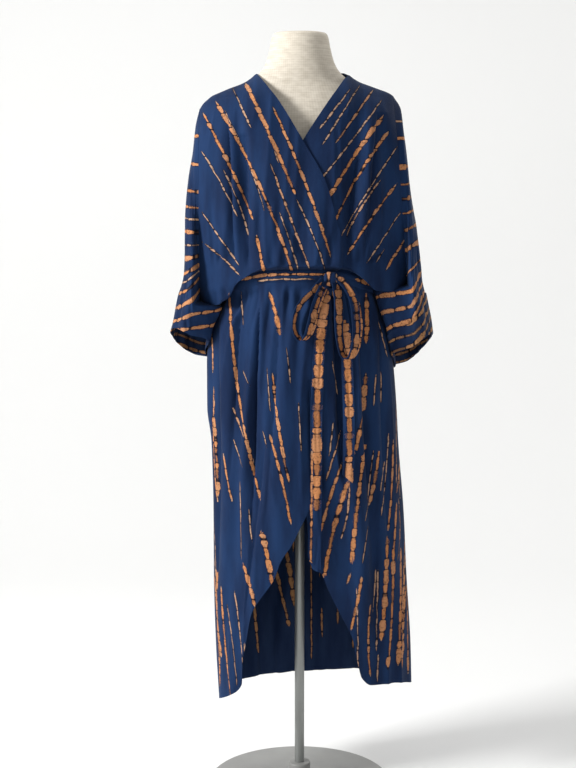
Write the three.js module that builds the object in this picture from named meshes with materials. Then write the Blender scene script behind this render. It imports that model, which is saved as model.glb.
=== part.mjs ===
// A long wrap kimono jacket with its tied belt, worn by a limbless dress form on a pole stand.
// Millimetres. +X is the wearer's left, -Y is the front, +Z is up.
// The origin is the centre of the base plate's underside.
import * as THREE from 'three';

// Cloth
const clothWall = 1.4;
const beltWall = 2;
const beltWidth = 22;
const endSlant = 18;
const ribbonWall = 1.4;
const seamGap = 0.3;
const armholeGap = 0.4;
const overlapLift = 3.2;

// Garment landmarks
const neckPoint = { right: 82, left: 93 };
const neckHeight = 1406;
const neckBackDepth = 64;
const armholeSwell = 26;
const shoulderRound = 0.22;
const blousePuff = 8;
const waistFrontHeight = 1029;
const waistBackHeight = 1016;
const waistSideDrop = 30;
const sectionPower = 0.4;
const turnUpLift = 2.2;

// Stand
const poleRadius = 9.5;
const basePlateRadius = 180;
const basePlateThickness = 10;
const baseHubRadius = 24;
const baseHubHeight = 46;
const formBottom = 762;

// Colours: cloth right side, cloth wrong side, linen canvas, painted steel
const navy = 0x23406f;
const fadedNavy = 0x39507a;
const linen = 0xe6dfd0;
const greyMetal = 0x8c8f90;

// The shoulder line's height on each side, seen from the front
const shoulderLine = [
  { across: 0, right: 1411, left: 1411 },
  { across: 82, right: 1406, left: 1409 },
  { across: 92, right: 1398.5, left: 1404 },
  { across: 103, right: 1391, left: 1396 },
  { across: 115, right: 1385.5, left: 1389.5 },
  { across: 133, right: 1379, left: 1383 },
  { across: 151, right: 1371.5, left: 1376.5 },
  { across: 166, right: 1365, left: 1371 },
  { across: 176, right: 1357.5, left: 1365 },
  { across: 184, right: 1350, left: 1356 },
  { across: 192, right: 1338, left: 1338 },
];

// How far the bodice hangs from the middle plane, by height
const bodiceDepth = [
  { height: 970, front: 112, back: 100 },
  { height: 1046, front: 116, back: 100 },
  { height: 1150, front: 121, back: 102 },
  { height: 1255, front: 113, back: 101 },
  { height: 1343, front: 94, back: 92 },
  { height: 1406, front: 78, back: 80 },
];

// The lowest line of the bodice where it blouses over the belt, front and back
const blouseLine = [
  { across: -191, front: 977, back: 977 },
  { across: -164, front: 972, back: 980 },
  { across: -140, front: 984, back: 992 },
  { across: -115, front: 1020, back: 1014 },
  { across: -60, front: 1049, back: 1037 },
  { across: 50, front: 1052, back: 1040 },
  { across: 95, front: 1041, back: 1034 },
  { across: 120, front: 1022, back: 1018 },
  { across: 146, front: 1000, back: 1006 },
  { across: 175, front: 999, back: 1006 },
  { across: 204, front: 1008, back: 1008 },
];

// The turn from the blouse's lowest line to the belt's top edge, in shares of the way in and up
const waistTurn = [
  { turn: 0, inward: 0, up: 0 },
  { turn: 0.14, inward: 0.1, up: 0.14 },
  { turn: 0.3, inward: 0.42, up: 0.62 },
  { turn: 0.46, inward: 0.78, up: 1 },
  { turn: 0.6, inward: 1, up: 1 },
  { turn: 1, inward: 1, up: 1 },
];
const turnEnd = 0.6;
const beltClearance = 6;

// Skirt sections below the belt
const skirtSections = [
  { height: 177, right: 160, left: 224, front: 112, back: 134 },
  { height: 300, right: 166, left: 220, front: 122, back: 132 },
  { height: 430, right: 169, left: 211, front: 128, back: 128 },
  { height: 560, right: 169, left: 204, front: 131, back: 124 },
  { height: 700, right: 172, left: 192, front: 132, back: 122 },
  { height: 770, right: 180, left: 188, front: 132, back: 122 },
  { height: 853, right: 180, left: 181, front: 130, back: 122 },
  { height: 920, right: 173, left: 172, front: 126, back: 118 },
  { height: 960, right: 156, left: 158, front: 120, back: 110 },
  { height: 990, right: 144, left: 147, front: 113, back: 99 },
  { height: 1005, right: 142, left: 144, front: 110, back: 95 },
];

// Armhole seams, from the shoulder to the underarm
const armholes = {
  right: { sign: -1, topAcross: 190.7, lowAcross: 191 },
  left: { sign: 1, topAcross: 176, lowAcross: 204 },
};

// The right front lies on top: its free edge runs from the neck across the body and down
const rightFront = {
  hole: armholes.right,
  lift: overlapLift,
  edge: [
    { height: 600, across: 20 },
    { height: 700, across: 20 },
    { height: 818, across: 22 },
    { height: 915, across: 36 },
    { height: 993, across: 45 },
    { height: 1025, across: 66 },
    { height: 1070, across: 82 },
    { height: 1130, across: 66 },
    { height: 1200, across: 45 },
    { height: 1275, across: 3.5 },
    { height: 1343, across: -36 },
    { height: 1406, across: -82 },
  ],
  hem: [
    { share: 0, height: 600 },
    { share: 0.044, height: 566 },
    { share: 0.113, height: 523 },
    { share: 0.188, height: 489 },
    { share: 0.232, height: 455 },
    { share: 0.29, height: 430 },
    { share: 0.347, height: 408 },
    { share: 0.397, height: 384 },
    { share: 0.448, height: 328 },
    { share: 0.481, height: 290 },
    { share: 0.51, height: 236 },
    { share: 0.6, height: 214 },
    { share: 1, height: 178 },
  ],
};

// The left front lies underneath
const leftFront = {
  hole: armholes.left,
  lift: 0,
  edge: [
    { height: 500, across: 15 },
    { height: 530, across: 15 },
    { height: 600, across: 10 },
    { height: 700, across: -5 },
    { height: 850, across: -30 },
    { height: 990, across: -60 },
    { height: 1029, across: -75 },
    { height: 1100, across: -66 },
    { height: 1200, across: -40 },
    { height: 1275, across: 5 },
    { height: 1343, across: 49 },
    { height: 1406, across: 93 },
  ],
  hem: [
    { share: 0, height: 500 },
    { share: 0.03, height: 474 },
    { share: 0.08, height: 466 },
    { share: 0.127, height: 431 },
    { share: 0.2, height: 383 },
    { share: 0.275, height: 333 },
    { share: 0.3, height: 292 },
    { share: 0.335, height: 252 },
    { share: 0.4, height: 236 },
    { share: 0.616, height: 232 },
    { share: 1, height: 213 },
  ],
};

const backHem = [
  { share: 0, height: 178 },
  { share: 0.25, height: 184 },
  { share: 0.5, height: 190 },
  { share: 0.75, height: 205 },
  { share: 1, height: 213 },
];

// Large folds of the fronts: each runs from a high point to a low one; lift is outward
const frontFolds = [
  { topAcross: -60, top: 1340, lowAcross: -45, low: 1050, width: 20, lift: 4 },
  { topAcross: -118, top: 1372, lowAcross: -98, low: 1030, width: 13, lift: -8 },
  { topAcross: -142, top: 1360, lowAcross: -136, low: 1000, width: 18, lift: 7 },
  { topAcross: 60, top: 1330, lowAcross: 40, low: 1050, width: 20, lift: 4 },
  { topAcross: 112, top: 1375, lowAcross: 92, low: 1030, width: 14, lift: -7 },
  { topAcross: 146, top: 1360, lowAcross: 122, low: 1020, width: 18, lift: 7 },
  { topAcross: -78, top: 1012, lowAcross: -122, low: 560, width: 13, lift: 9 },
  { topAcross: -58, top: 1005, lowAcross: -98, low: 500, width: 12, lift: -6 },
  { topAcross: -104, top: 990, lowAcross: -146, low: 240, width: 11, lift: -7 },
  { topAcross: -20, top: 1000, lowAcross: -48, low: 470, width: 24, lift: 4 },
  { topAcross: 72, top: 1000, lowAcross: 82, low: 640, width: 9, lift: -8 },
  { topAcross: 100, top: 1000, lowAcross: 118, low: 330, width: 16, lift: 8 },
  { topAcross: 120, top: 985, lowAcross: 152, low: 250, width: 11, lift: -7 },
  { topAcross: 40, top: 820, lowAcross: 56, low: 470, width: 16, lift: 4 },
];

// Large folds of the back
const backFolds = [
  { topAcross: -105, top: 1350, lowAcross: -70, low: 1035, width: 18, lift: 6 },
  { topAcross: -60, top: 1330, lowAcross: -30, low: 1035, width: 15, lift: -6 },
  { topAcross: 100, top: 1350, lowAcross: 72, low: 1035, width: 18, lift: 6 },
  { topAcross: 55, top: 1330, lowAcross: 30, low: 1035, width: 15, lift: -6 },
  { topAcross: -105, top: 995, lowAcross: -128, low: 185, width: 16, lift: 9 },
  { topAcross: -76, top: 1005, lowAcross: -92, low: 190, width: 14, lift: -8 },
  { topAcross: -44, top: 1005, lowAcross: -50, low: 190, width: 17, lift: 10 },
  { topAcross: -14, top: 1005, lowAcross: -8, low: 190, width: 14, lift: -8 },
  { topAcross: 18, top: 1005, lowAcross: 36, low: 190, width: 17, lift: 9 },
  { topAcross: 48, top: 1005, lowAcross: 78, low: 195, width: 14, lift: -8 },
  { topAcross: 80, top: 1005, lowAcross: 124, low: 200, width: 18, lift: 10 },
  { topAcross: 106, top: 995, lowAcross: 164, low: 205, width: 13, lift: -7 },
];

// Sleeves hang empty: the top fold and the underarm seam, from the armhole to the cuff
const rightSleeve = {
  hole: armholes.right,
  rings: [
    { along: 0, topAcross: 190.7, top: 1338, lowAcross: 191, low: 977, depth: 62, tilt: 0 },
    { along: 0.07, topAcross: 198.5, top: 1307, lowAcross: 192.5, low: 973, depth: 68, tilt: 0 },
    { along: 0.19, topAcross: 204.7, top: 1256, lowAcross: 192, low: 966, depth: 72, tilt: 0 },
    { along: 0.3, topAcross: 212.7, top: 1208, lowAcross: 191, low: 959, depth: 75, tilt: 0 },
    { along: 0.44, topAcross: 218.4, top: 1147, lowAcross: 189.5, low: 948, depth: 78, tilt: 0 },
    { along: 0.57, topAcross: 220.6, top: 1092, lowAcross: 189, low: 936, depth: 80, tilt: 3 },
    { along: 0.69, topAcross: 223, top: 1037, lowAcross: 188, low: 922, depth: 81, tilt: 8 },
    { along: 0.82, topAcross: 234.6, top: 981, lowAcross: 187, low: 904, depth: 79, tilt: 15 },
    { along: 0.92, topAcross: 244, top: 938, lowAcross: 186, low: 886, depth: 74, tilt: 22 },
    { along: 1, topAcross: 250.5, top: 912, lowAcross: 184, low: 874, depth: 68, tilt: 27 },
  ],
};
const leftSleeve = {
  hole: armholes.left,
  rings: [
    { along: 0, topAcross: 176, top: 1365, lowAcross: 204, low: 1008, depth: 62, tilt: 0 },
    { along: 0.07, topAcross: 191.5, top: 1339, lowAcross: 205.5, low: 1002, depth: 67, tilt: 0 },
    { along: 0.14, topAcross: 195.5, top: 1307, lowAcross: 205.2, low: 995, depth: 70, tilt: 0 },
    { along: 0.24, topAcross: 201, top: 1263, lowAcross: 204.5, low: 984, depth: 73, tilt: 0 },
    { along: 0.36, topAcross: 207.5, top: 1209, lowAcross: 203, low: 970, depth: 76, tilt: 0 },
    { along: 0.48, topAcross: 216, top: 1154, lowAcross: 201, low: 954, depth: 78, tilt: 0 },
    { along: 0.57, topAcross: 223, top: 1117, lowAcross: 200, low: 941, depth: 80, tilt: 2 },
    { along: 0.66, topAcross: 229, top: 1073, lowAcross: 198, low: 926, depth: 80, tilt: 5 },
    { along: 0.77, topAcross: 233.5, top: 1022, lowAcross: 196, low: 905, depth: 80, tilt: 10 },
    { along: 0.87, topAcross: 243, top: 978, lowAcross: 194, low: 884, depth: 77, tilt: 15 },
    { along: 0.95, topAcross: 251, top: 937, lowAcross: 192.5, low: 864, depth: 72, tilt: 19 },
    { along: 1, topAcross: 254.5, top: 908, lowAcross: 191.5, low: 850, depth: 68, tilt: 22 },
  ],
};
const turnUpStart = 0.84;
const sleeveClearance = 5;
const tuckStart = 9.5;
const tuckDrop = 11;

// Folds of a sleeve: angle round from the underarm at the armhole and at the cuff, in degrees
const sleeveFolds = [
  { holeAngle: 40, cuffAngle: 55, width: 16, lift: -5, start: 0.25 },
  { holeAngle: 75, cuffAngle: 95, width: 18, lift: 6, start: 0.1 },
  { holeAngle: 118, cuffAngle: 128, width: 14, lift: -4, start: 0.4 },
  { holeAngle: 300, cuffAngle: 285, width: 20, lift: 6, start: 0.1 },
  { holeAngle: 250, cuffAngle: 245, width: 16, lift: -5, start: 0.3 },
];

// The bow: centre lines of its bands; turn swings the band's width from Y towards X, in degrees
const bow = {
  knot: { across: 57, out: -118.9, height: 1024, halfAcross: 13, halfOut: 8, halfHeight: 13 },
  rightLoop: [
    { x: 42, y: -126, z: 1021, turn: 50 },
    { x: 24, y: -133, z: 1003, turn: 48 },
    { x: 3, y: -139, z: 984, turn: 36 },
    { x: -10, y: -142, z: 958, turn: 26 },
    { x: -11, y: -144, z: 932, turn: 24 },
    { x: 0, y: -146, z: 914, turn: 30 },
    { x: 13, y: -146, z: 922, turn: 40 },
    { x: 22, y: -144, z: 946, turn: 52 },
    { x: 30, y: -138, z: 978, turn: 56 },
    { x: 43, y: -131, z: 1010, turn: 54 },
  ],
  leftLoop: [
    { x: 68, y: -126, z: 1018, turn: 58 },
    { x: 71, y: -132, z: 990, turn: 56 },
    { x: 71, y: -138, z: 950, turn: 50 },
    { x: 73, y: -142, z: 912, turn: 44 },
    { x: 80, y: -148, z: 884, turn: 40 },
    { x: 93, y: -154, z: 882, turn: 42 },
    { x: 103, y: -156, z: 908, turn: 52 },
    { x: 105, y: -153, z: 944, turn: 60 },
    { x: 101, y: -146, z: 980, turn: 60 },
    { x: 90, y: -138, z: 1006, turn: 56 },
    { x: 69.8, y: -129, z: 1029, turn: 54 },
  ],
  rightTail: [
    { across: 50, height: 1008, clear: 6 },
    { across: 43, height: 980, clear: 3 },
    { across: 38, height: 930, clear: 1 },
    { across: 33, height: 860, clear: 1 },
    { across: 30, height: 760, clear: 0.8 },
    { across: 30, height: 660, clear: 0.8 },
    { across: 29, height: 570, clear: 0.8 },
    { across: 28, height: 484, clear: 0.8 },
  ],
  leftTail: [
    { across: 66, height: 1008, clear: 6.4 },
    { across: 76, height: 975, clear: 3.6 },
    { across: 84, height: 920, clear: 2.8 },
    { across: 88, height: 850, clear: 1.6 },
    { across: 91, height: 770, clear: 1.2 },
    { across: 91, height: 700, clear: 1.8 },
    { across: 90, height: 648, clear: 2 },
  ],
};

// The dress form below the neck; its shoulders follow the cloth's shoulder line
const formSections = [
  { height: 762, half: 148, front: 92, back: 94 },
  { height: 775, half: 158, front: 101, back: 104 },
  { height: 820, half: 162, front: 104, back: 108 },
  { height: 870, half: 158, front: 102, back: 106 },
  { height: 930, half: 140, front: 96, back: 94 },
  { height: 1000, half: 121, front: 88, back: 72 },
  { height: 1040, half: 118, front: 87, back: 66 },
  { height: 1100, half: 128, front: 94, back: 72 },
  { height: 1180, half: 146, front: 104, back: 84 },
  { height: 1240, half: 152, front: 98, back: 88 },
  { height: 1290, half: 168, front: 86, back: 86 },
  { height: 1325, half: 180, front: 76, back: 80, power: 1.1 },
  { height: 1345, half: 178, front: 69, back: 74, power: 1.3 },
  { height: 1363.6, half: 166, front: 60, back: 64, power: 1.6 },
  { height: 1377.2, half: 132, front: 56, back: 60, power: 1.6 },
  { height: 1389.2, half: 102, front: 53, back: 56, power: 1.4 },
  { height: 1400, half: 84, front: 53, back: 56, power: 1.2 },
  { height: 1412, half: 73, front: 54, back: 56 },
  { height: 1425, half: 65, front: 54, back: 55 },
  { height: 1453, half: 57.5, front: 52, back: 53 },
  { height: 1472, half: 54.5, front: 50, back: 51 },
  { height: 1480, half: 52, front: 47.5, back: 48.5 },
  { height: 1484, half: 46, front: 42, back: 43 },
];

const clamp = (value, low, high) => Math.min(high, Math.max(low, value));
const mix = (from, to, share) => from + (to - from) * share;
const ease = (share) => {
  const inside = clamp(share, 0, 1);
  return inside * inside * (3 - 2 * inside);
};
const radians = (degrees) => (degrees * Math.PI) / 180;

// Reads a column of a table at a place between its rows, on a smooth curve with no overshoot
function read(table, key, column, place) {
  const last = table.length - 1;
  if (place <= table[0][key]) return table[0][column];
  if (place >= table[last][key]) return table[last][column];
  const rise = (i) => (table[i + 1][column] - table[i][column]) / (table[i + 1][key] - table[i][key]);
  const tangent = (i) => {
    if (i === 0) return rise(0);
    if (i === last) return rise(last - 1);
    const before = rise(i - 1);
    const after = rise(i);
    return before * after <= 0 ? 0 : (2 * before * after) / (before + after);
  };
  let row = 0;
  while (place > table[row + 1][key]) row += 1;
  const span = table[row + 1][key] - table[row][key];
  const share = (place - table[row][key]) / span;
  const squared = share * share;
  const cubed = squared * share;
  return (
    (2 * cubed - 3 * squared + 1) * table[row][column] +
    (cubed - 2 * squared + share) * span * tangent(row) +
    (3 * squared - 2 * cubed) * table[row + 1][column] +
    (cubed - squared) * span * tangent(row + 1)
  );
}

// Outward lift of the large folds at a place on the fronts or the back
function foldLift(folds, across, height) {
  let lift = 0;
  for (const fold of folds) {
    const down = (fold.top - height) / (fold.top - fold.low);
    if (down > 0 && down < 1) {
      const centre = mix(fold.topAcross, fold.lowAcross, down);
      const aside = (across - centre) / fold.width;
      lift += fold.lift * Math.exp(-aside * aside) * Math.sin(Math.PI * down) ** 0.6;
    }
  }
  return lift;
}

function beltHeight(angle, face) {
  const middle = face < 0 ? waistFrontHeight : waistBackHeight;
  return middle - (middle - waistFrontHeight + waistSideDrop) * Math.abs(Math.sin(angle)) ** 3;
}

const sideName = (across) => (across < 0 ? 'right' : 'left');
const sideHole = (across) => armholes[sideName(across)];
const shoulderHeight = (across) => read(shoulderLine, 'across', sideName(across), Math.abs(across));
const holeAcross = (hole, fall) => mix(hole.topAcross, hole.lowAcross, fall) - seamGap / 2;
const hullHalf = (hole, fall) => holeAcross(hole, fall) + armholeSwell * Math.sin(Math.PI * fall) ** 0.8;

const depthShare = (across, half) =>
  Math.max(0, 1 - (across / half) ** 2) ** sectionPower;

function angleOf(across, half) {
  return Math.asin(clamp(across / half, -1, 1));
}

// Moves a point outward by a lift, square to an oval section
function pushOut(point, half, depth, face, lift) {
  const sideways = point.x / (half * half);
  const forward = Math.abs(point.y) / (depth * depth);
  const length = Math.hypot(sideways, forward);
  point.x += (lift * sideways) / length;
  point.y += (face * lift * forward) / length;
  return point;
}

// Full lift of the upper front over the lower one, none at the sides
const overlapShare = (across) => 1 - ease((Math.abs(across) - 95) / 38);

// The upper front also passes below the lower one where both turn in over the belt
const layerDrop = (lift, across) => 1.1 * lift * overlapShare(across);

// A body panel: face is -1 for the front and 1 for the back.
// level 0 to 1 falls from the shoulder to the blouse's lowest line,
// 1 to 2 turns in and under the belt, and 2 to 3 is the skirt.
function bodicePoint(face, folds, lift, angleAt, level) {
  const fall = level;
  const angle = angleAt(fall);
  const hole = sideHole(angle);
  const half = hullHalf(hole, fall);
  const across = half * Math.sin(angle);
  const top = shoulderHeight(across);
  const low = read(blouseLine, 'across', face < 0 ? 'front' : 'back', across);
  const height = mix(top, low, fall);
  const round = 1 - Math.min(1, fall / shoulderRound);
  const out = Math.sqrt(1 - round * round);
  const neckShare = Math.min(1, across / neckPoint[sideName(across)]);
  const neck = face > 0 ? neckBackDepth * Math.sqrt(Math.max(0, 1 - neckShare ** 2)) : 0;
  const puff = blousePuff * ease((fall - 0.75) / 0.25);
  const depth = read(bodiceDepth, 'height', face < 0 ? 'front' : 'back', height) + puff;
  const away = mix(neck, depth * depthShare(across, half), out);
  const point = new THREE.Vector3(across, face * away, height);
  const holeFade = ease((holeAcross(hole, fall) - Math.abs(across)) / 25);
  const total =
    holeFade * (foldLift(folds, across, height) + lift * overlapShare(across) * ease(fall / 0.2));
  point.z -= layerDrop(lift, across) * ease((fall - 0.8) / 0.2);
  return pushOut(point, half, depth, face, total);
}

// The turn under the blouse and the strip that the belt holds
function waistPoint(face, lift, angle, turn) {
  const hole = sideHole(angle);
  const outerHalf = hullHalf(hole, 1);
  const outerAcross = outerHalf * Math.sin(angle);
  const low = read(blouseLine, 'across', face < 0 ? 'front' : 'back', outerAcross);
  const belt = beltHeight(angle, face);
  const beltTop = belt + beltWidth / 2 + beltClearance;
  const beltLow = belt - beltWidth / 2 - 1;
  const column = hole.sign < 0 ? 'right' : 'left';
  const innerHalf = read(skirtSections, 'height', column, beltLow);
  const innerDepth = read(skirtSections, 'height', face < 0 ? 'front' : 'back', beltLow);
  const outerDepth = read(bodiceDepth, 'height', face < 0 ? 'front' : 'back', low) + blousePuff;
  const inward = read(waistTurn, 'turn', 'inward', turn);
  const half = mix(outerHalf, innerHalf, inward);
  const depth = mix(outerDepth, innerDepth, inward);
  const underBelt = Math.max(0, (turn - turnEnd) / (1 - turnEnd));
  const turnedHeight = mix(low, beltTop, read(waistTurn, 'turn', 'up', turn));
  const across = half * Math.sin(angle);
  const upperDrop = layerDrop(lift, across) * (1 - underBelt);
  const height = mix(turnedHeight, beltLow, underBelt) - upperDrop;
  const point = new THREE.Vector3(across, face * depth * depthShare(across, half), height);
  return pushOut(point, half, depth, face, lift * overlapShare(across));
}

// A place on the skirt's section at a height
function skirtPoint(face, folds, lift, angle, height) {
  const column = angle < 0 ? 'right' : 'left';
  const half = read(skirtSections, 'height', column, height);
  const depth = read(skirtSections, 'height', face < 0 ? 'front' : 'back', height);
  const across = half * Math.sin(angle);
  const point = new THREE.Vector3(across, face * depth * depthShare(across, half), height);
  const sideFade = ease((half - Math.abs(across)) / 8);
  return pushOut(
    point,
    half,
    depth,
    face,
    sideFade * foldLift(folds, across, height) + lift * overlapShare(across),
  );
}

const beltLowHeight = (angle, face) => beltHeight(angle, face) - beltWidth / 2 - 1;

// One front: share 0 is its free edge and share 1 its armhole and side seam
function frontPoint(panel, share, level) {
  const side = panel.hole.sign;
  const edgeAngle = (height, half) => angleOf(read(panel.edge, 'height', 'across', height), half);
  if (level <= 1) {
    const angleAt = (fall) => {
      const edgeHeight = mix(neckHeight, waistFrontHeight + 16, fall);
      const edgeAcross = read(panel.edge, 'height', 'across', edgeHeight);
      const free = edgeAngle(edgeHeight, hullHalf(sideHole(edgeAcross), fall));
      const seam = side * angleOf(holeAcross(panel.hole, fall), hullHalf(panel.hole, fall));
      return mix(free, seam, share);
    };
    const point = bodicePoint(-1, frontFolds, panel.lift, angleAt, level);
    point.y -= seamGap / 2;
    return point;
  }
  const seam = (side * Math.PI) / 2;
  const half = read(skirtSections, 'height', side < 0 ? 'left' : 'right', 1000);
  const start = mix(edgeAngle(waistFrontHeight - 12, half), seam, share);
  const beltLow = beltLowHeight(start, -1);
  if (level <= 2) {
    const turn = level - 1;
    const height = mix(waistFrontHeight + 16, beltLow, turn);
    const edgeAcross = read(panel.edge, 'height', 'across', height);
    const edgeHalf = mix(hullHalf(sideHole(edgeAcross), 1), half, read(waistTurn, 'turn', 'inward', turn));
    const point = waistPoint(-1, panel.lift, mix(edgeAngle(height, edgeHalf), seam, share), turn);
    point.y -= seamGap / 2;
    return point;
  }
  const height = mix(beltLow, read(panel.hem, 'share', 'height', share), level - 2);
  const edgeAcross = read(panel.edge, 'height', 'across', height);
  const edgeHalf = read(skirtSections, 'height', edgeAcross < 0 ? 'right' : 'left', height);
  const edge = mix(edgeAngle(height, half), edgeAngle(height, edgeHalf), ease((level - 2) / 0.1));
  const point = skirtPoint(-1, frontFolds, panel.lift, mix(edge, seam, share), height);
  point.y -= seamGap / 2;
  return point;
}

// The back: share 0 is the wearer's right side and share 1 the left side
function backPoint(share, level) {
  const angleAt = (fall) => {
    const rightEnd = -angleOf(holeAcross(armholes.right, fall), hullHalf(armholes.right, fall));
    const leftEnd = angleOf(holeAcross(armholes.left, fall), hullHalf(armholes.left, fall));
    return mix(rightEnd, leftEnd, share);
  };
  const angle = mix(-Math.PI / 2, Math.PI / 2, share);
  let point;
  if (level <= 1) {
    point = bodicePoint(1, backFolds, 0, angleAt, level);
  } else if (level <= 2) {
    point = waistPoint(1, 0, angle, level - 1);
  } else {
    const height = mix(beltLowHeight(angle, 1), read(backHem, 'share', 'height', share), level - 2);
    point = skirtPoint(1, backFolds, 0, angle, height);
  }
  point.y += seamGap / 2;
  return point;
}

// A sleeve: around 0 is the underarm, 0.25 the front, 0.5 the top fold and 0.75 the back
function sleevePoint(sleeve, around, along) {
  const angle = 2 * Math.PI * around;
  const up = (1 - Math.cos(angle)) / 2;
  const face = around <= 0.5 ? -1 : 1;
  const side = sleeve.hole.sign;
  const ringValue = (column, place) => read(sleeve.rings, 'along', column, place);
  const onRing = (place) =>
    new THREE.Vector3(
      side * mix(ringValue('lowAcross', place), ringValue('topAcross', place), up),
      0,
      mix(ringValue('low', place), ringValue('top', place), up),
    );
  const fall = 1 - up;
  const hole = bodicePoint(
    face,
    [],
    0,
    (at) => side * angleOf(holeAcross(sleeve.hole, at), hullHalf(sleeve.hole, at)),
    fall,
  );
  hole.x += side * armholeGap;
  const point = onRing(along);
  point.addScaledVector(hole.clone().setY(0).sub(onRing(0)), 1 - ease(along / 0.2));
  const depth = ringValue('depth', along);
  const oval = -Math.sign(Math.sin(angle)) * Math.abs(Math.sin(angle)) ** 0.85 * depth;
  point.y = mix(hole.y, oval, ease(along / 0.3));
  point.z -= (ringValue('tilt', along) * point.y) / depth;
  let total = 0;
  for (const fold of sleeveFolds) {
    const centre = mix(fold.holeAngle, fold.cuffAngle, along);
    const aside = ((angle * 180) / Math.PI - centre) / fold.width;
    total += fold.lift * Math.exp(-aside * aside) * ease((along - fold.start) / 0.3);
  }
  const axis = onRingAxis(sleeve, along);
  point.addScaledVector(axis, -Math.cos(angle) * total);
  point.y -= Math.sin(angle) * total;
  const blouseLow = read(blouseLine, 'across', 'front', side * sleeve.hole.lowAcross);
  const below = ease((blouseLow - tuckStart - point.z) / tuckDrop);
  const tuck = below * ease((0.4 - up) / 0.3) * ease((along - 0.12) / 0.2);
  point.x = side * mix(Math.abs(point.x), besideSkirt(point, face, sideName(side)), tuck);
  return point;
}

// How far out the skirt's side lies at a point's height and depth, with the sleeve's clearance
function besideSkirt(point, face, column) {
  const half = read(skirtSections, 'height', column, point.z);
  const depth = read(skirtSections, 'height', face < 0 ? 'front' : 'back', point.z);
  const away = Math.min(1, Math.abs(point.y) / depth);
  return half * Math.sqrt(1 - away ** (1 / sectionPower)) + sleeveClearance;
}

// The direction from a sleeve ring's underarm to its top fold
function onRingAxis(sleeve, along) {
  const value = (column) => read(sleeve.rings, 'along', column, along);
  return new THREE.Vector3(
    sleeve.hole.sign * (value('topAcross') - value('lowAcross')),
    0,
    value('top') - value('low'),
  ).normalize();
}

// Even steps between two values
function steps(from, to, count) {
  return Array.from({ length: count + 1 }, (_, i) => mix(from, to, i / count));
}

function meshOf(name, positions, triangles, material) {
  const geometry = new THREE.BufferGeometry();
  geometry.setAttribute('position', new THREE.Float32BufferAttribute(positions, 3));
  geometry.setIndex(triangles);
  geometry.computeVertexNormals();
  const mesh = new THREE.Mesh(geometry, material);
  mesh.name = name;
  return mesh;
}

// Turns the triangles over where they enclose a negative volume
function facingOut(positions, triangles) {
  const corner = (i) => new THREE.Vector3().fromArray(positions, 3 * i);
  let volume = 0;
  for (let i = 0; i < triangles.length; i += 3) {
    const [a, b, c] = [triangles[i], triangles[i + 1], triangles[i + 2]];
    volume += corner(a).dot(corner(b).cross(corner(c)));
  }
  return volume < 0 ? triangles.slice().reverse() : triangles;
}

// A cloth wall round a grid of middle points. Where seamPlanes names a plane's normal,
// the wall's rim stays in that plane, so that it meets its neighbour edge to edge.
function clothPiece(name, material, shares, levels, pointAt, options = {}) {
  const { around = false, thickness = clothWall, offset = 0, seamPlanes = () => [] } = options;
  const columns = shares.length;
  const rows = levels.length;
  const middle = levels.map((level) => shares.map((share) => pointAt(share, level)));
  const normals = levels.map(() => shares.map(() => new THREE.Vector3()));
  const lastColumn = around ? columns : columns - 1;
  for (let row = 0; row < rows - 1; row += 1) {
    for (let column = 0; column < lastColumn; column += 1) {
      const next = (column + 1) % columns;
      const down = middle[row + 1][next].clone().sub(middle[row][column]);
      const back = middle[row + 1][column].clone().sub(middle[row][next]);
      const facet = down.cross(back);
      normals[row][column].add(facet);
      normals[row][next].add(facet);
      normals[row + 1][column].add(facet);
      normals[row + 1][next].add(facet);
    }
  }
  const positions = [];
  for (const direction of [1, -1]) {
    for (let row = 0; row < rows; row += 1) {
      for (let column = 0; column < columns; column += 1) {
        const point = middle[row][column].clone();
        const normal = normals[row][column].clone();
        for (const plane of seamPlanes(shares[column], levels[row], point)) {
          normal.addScaledVector(plane, -normal.dot(plane));
        }
        normal.normalize();
        point.addScaledVector(normal, offset + (direction * thickness) / 2);
        positions.push(point.x, point.y, point.z);
      }
    }
  }
  const layer = rows * columns;
  const index = (row, column, inner) => inner * layer + row * columns + (column % columns);
  const triangles = [];
  const quad = (...corners) => {
    const [a, b, c, d] = corners.map((corner) => index(...corner));
    triangles.push(a, b, c, a, c, d);
  };
  for (let row = 0; row < rows - 1; row += 1) {
    for (let column = 0; column < lastColumn; column += 1) {
      quad([row, column, 0], [row, column + 1, 0], [row + 1, column + 1, 0], [row + 1, column, 0]);
      quad([row, column, 1], [row + 1, column, 1], [row + 1, column + 1, 1], [row, column + 1, 1]);
    }
  }
  for (let column = 0; column < lastColumn; column += 1) {
    quad([0, column, 1], [0, column + 1, 1], [0, column + 1, 0], [0, column, 0]);
    const end = rows - 1;
    quad([end, column, 0], [end, column + 1, 0], [end, column + 1, 1], [end, column, 1]);
  }
  if (!around) {
    for (let row = 0; row < rows - 1; row += 1) {
      const end = columns - 1;
      quad([row, 0, 0], [row + 1, 0, 0], [row + 1, 0, 1], [row, 0, 1]);
      quad([row, end, 1], [row + 1, end, 1], [row + 1, end, 0], [row, end, 0]);
    }
  }
  return meshOf(name, positions, facingOut(positions, triangles), material);
}

const middlePlane = new THREE.Vector3(0, 1, 0);

function holePlane(hole) {
  const top = shoulderHeight(hole.sign * hole.topAcross);
  const low = read(blouseLine, 'across', 'front', hole.sign * hole.lowAcross);
  return new THREE.Vector3(top - low, 0, hole.sign * (hole.lowAcross - hole.topAcross)).normalize();
}

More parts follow.
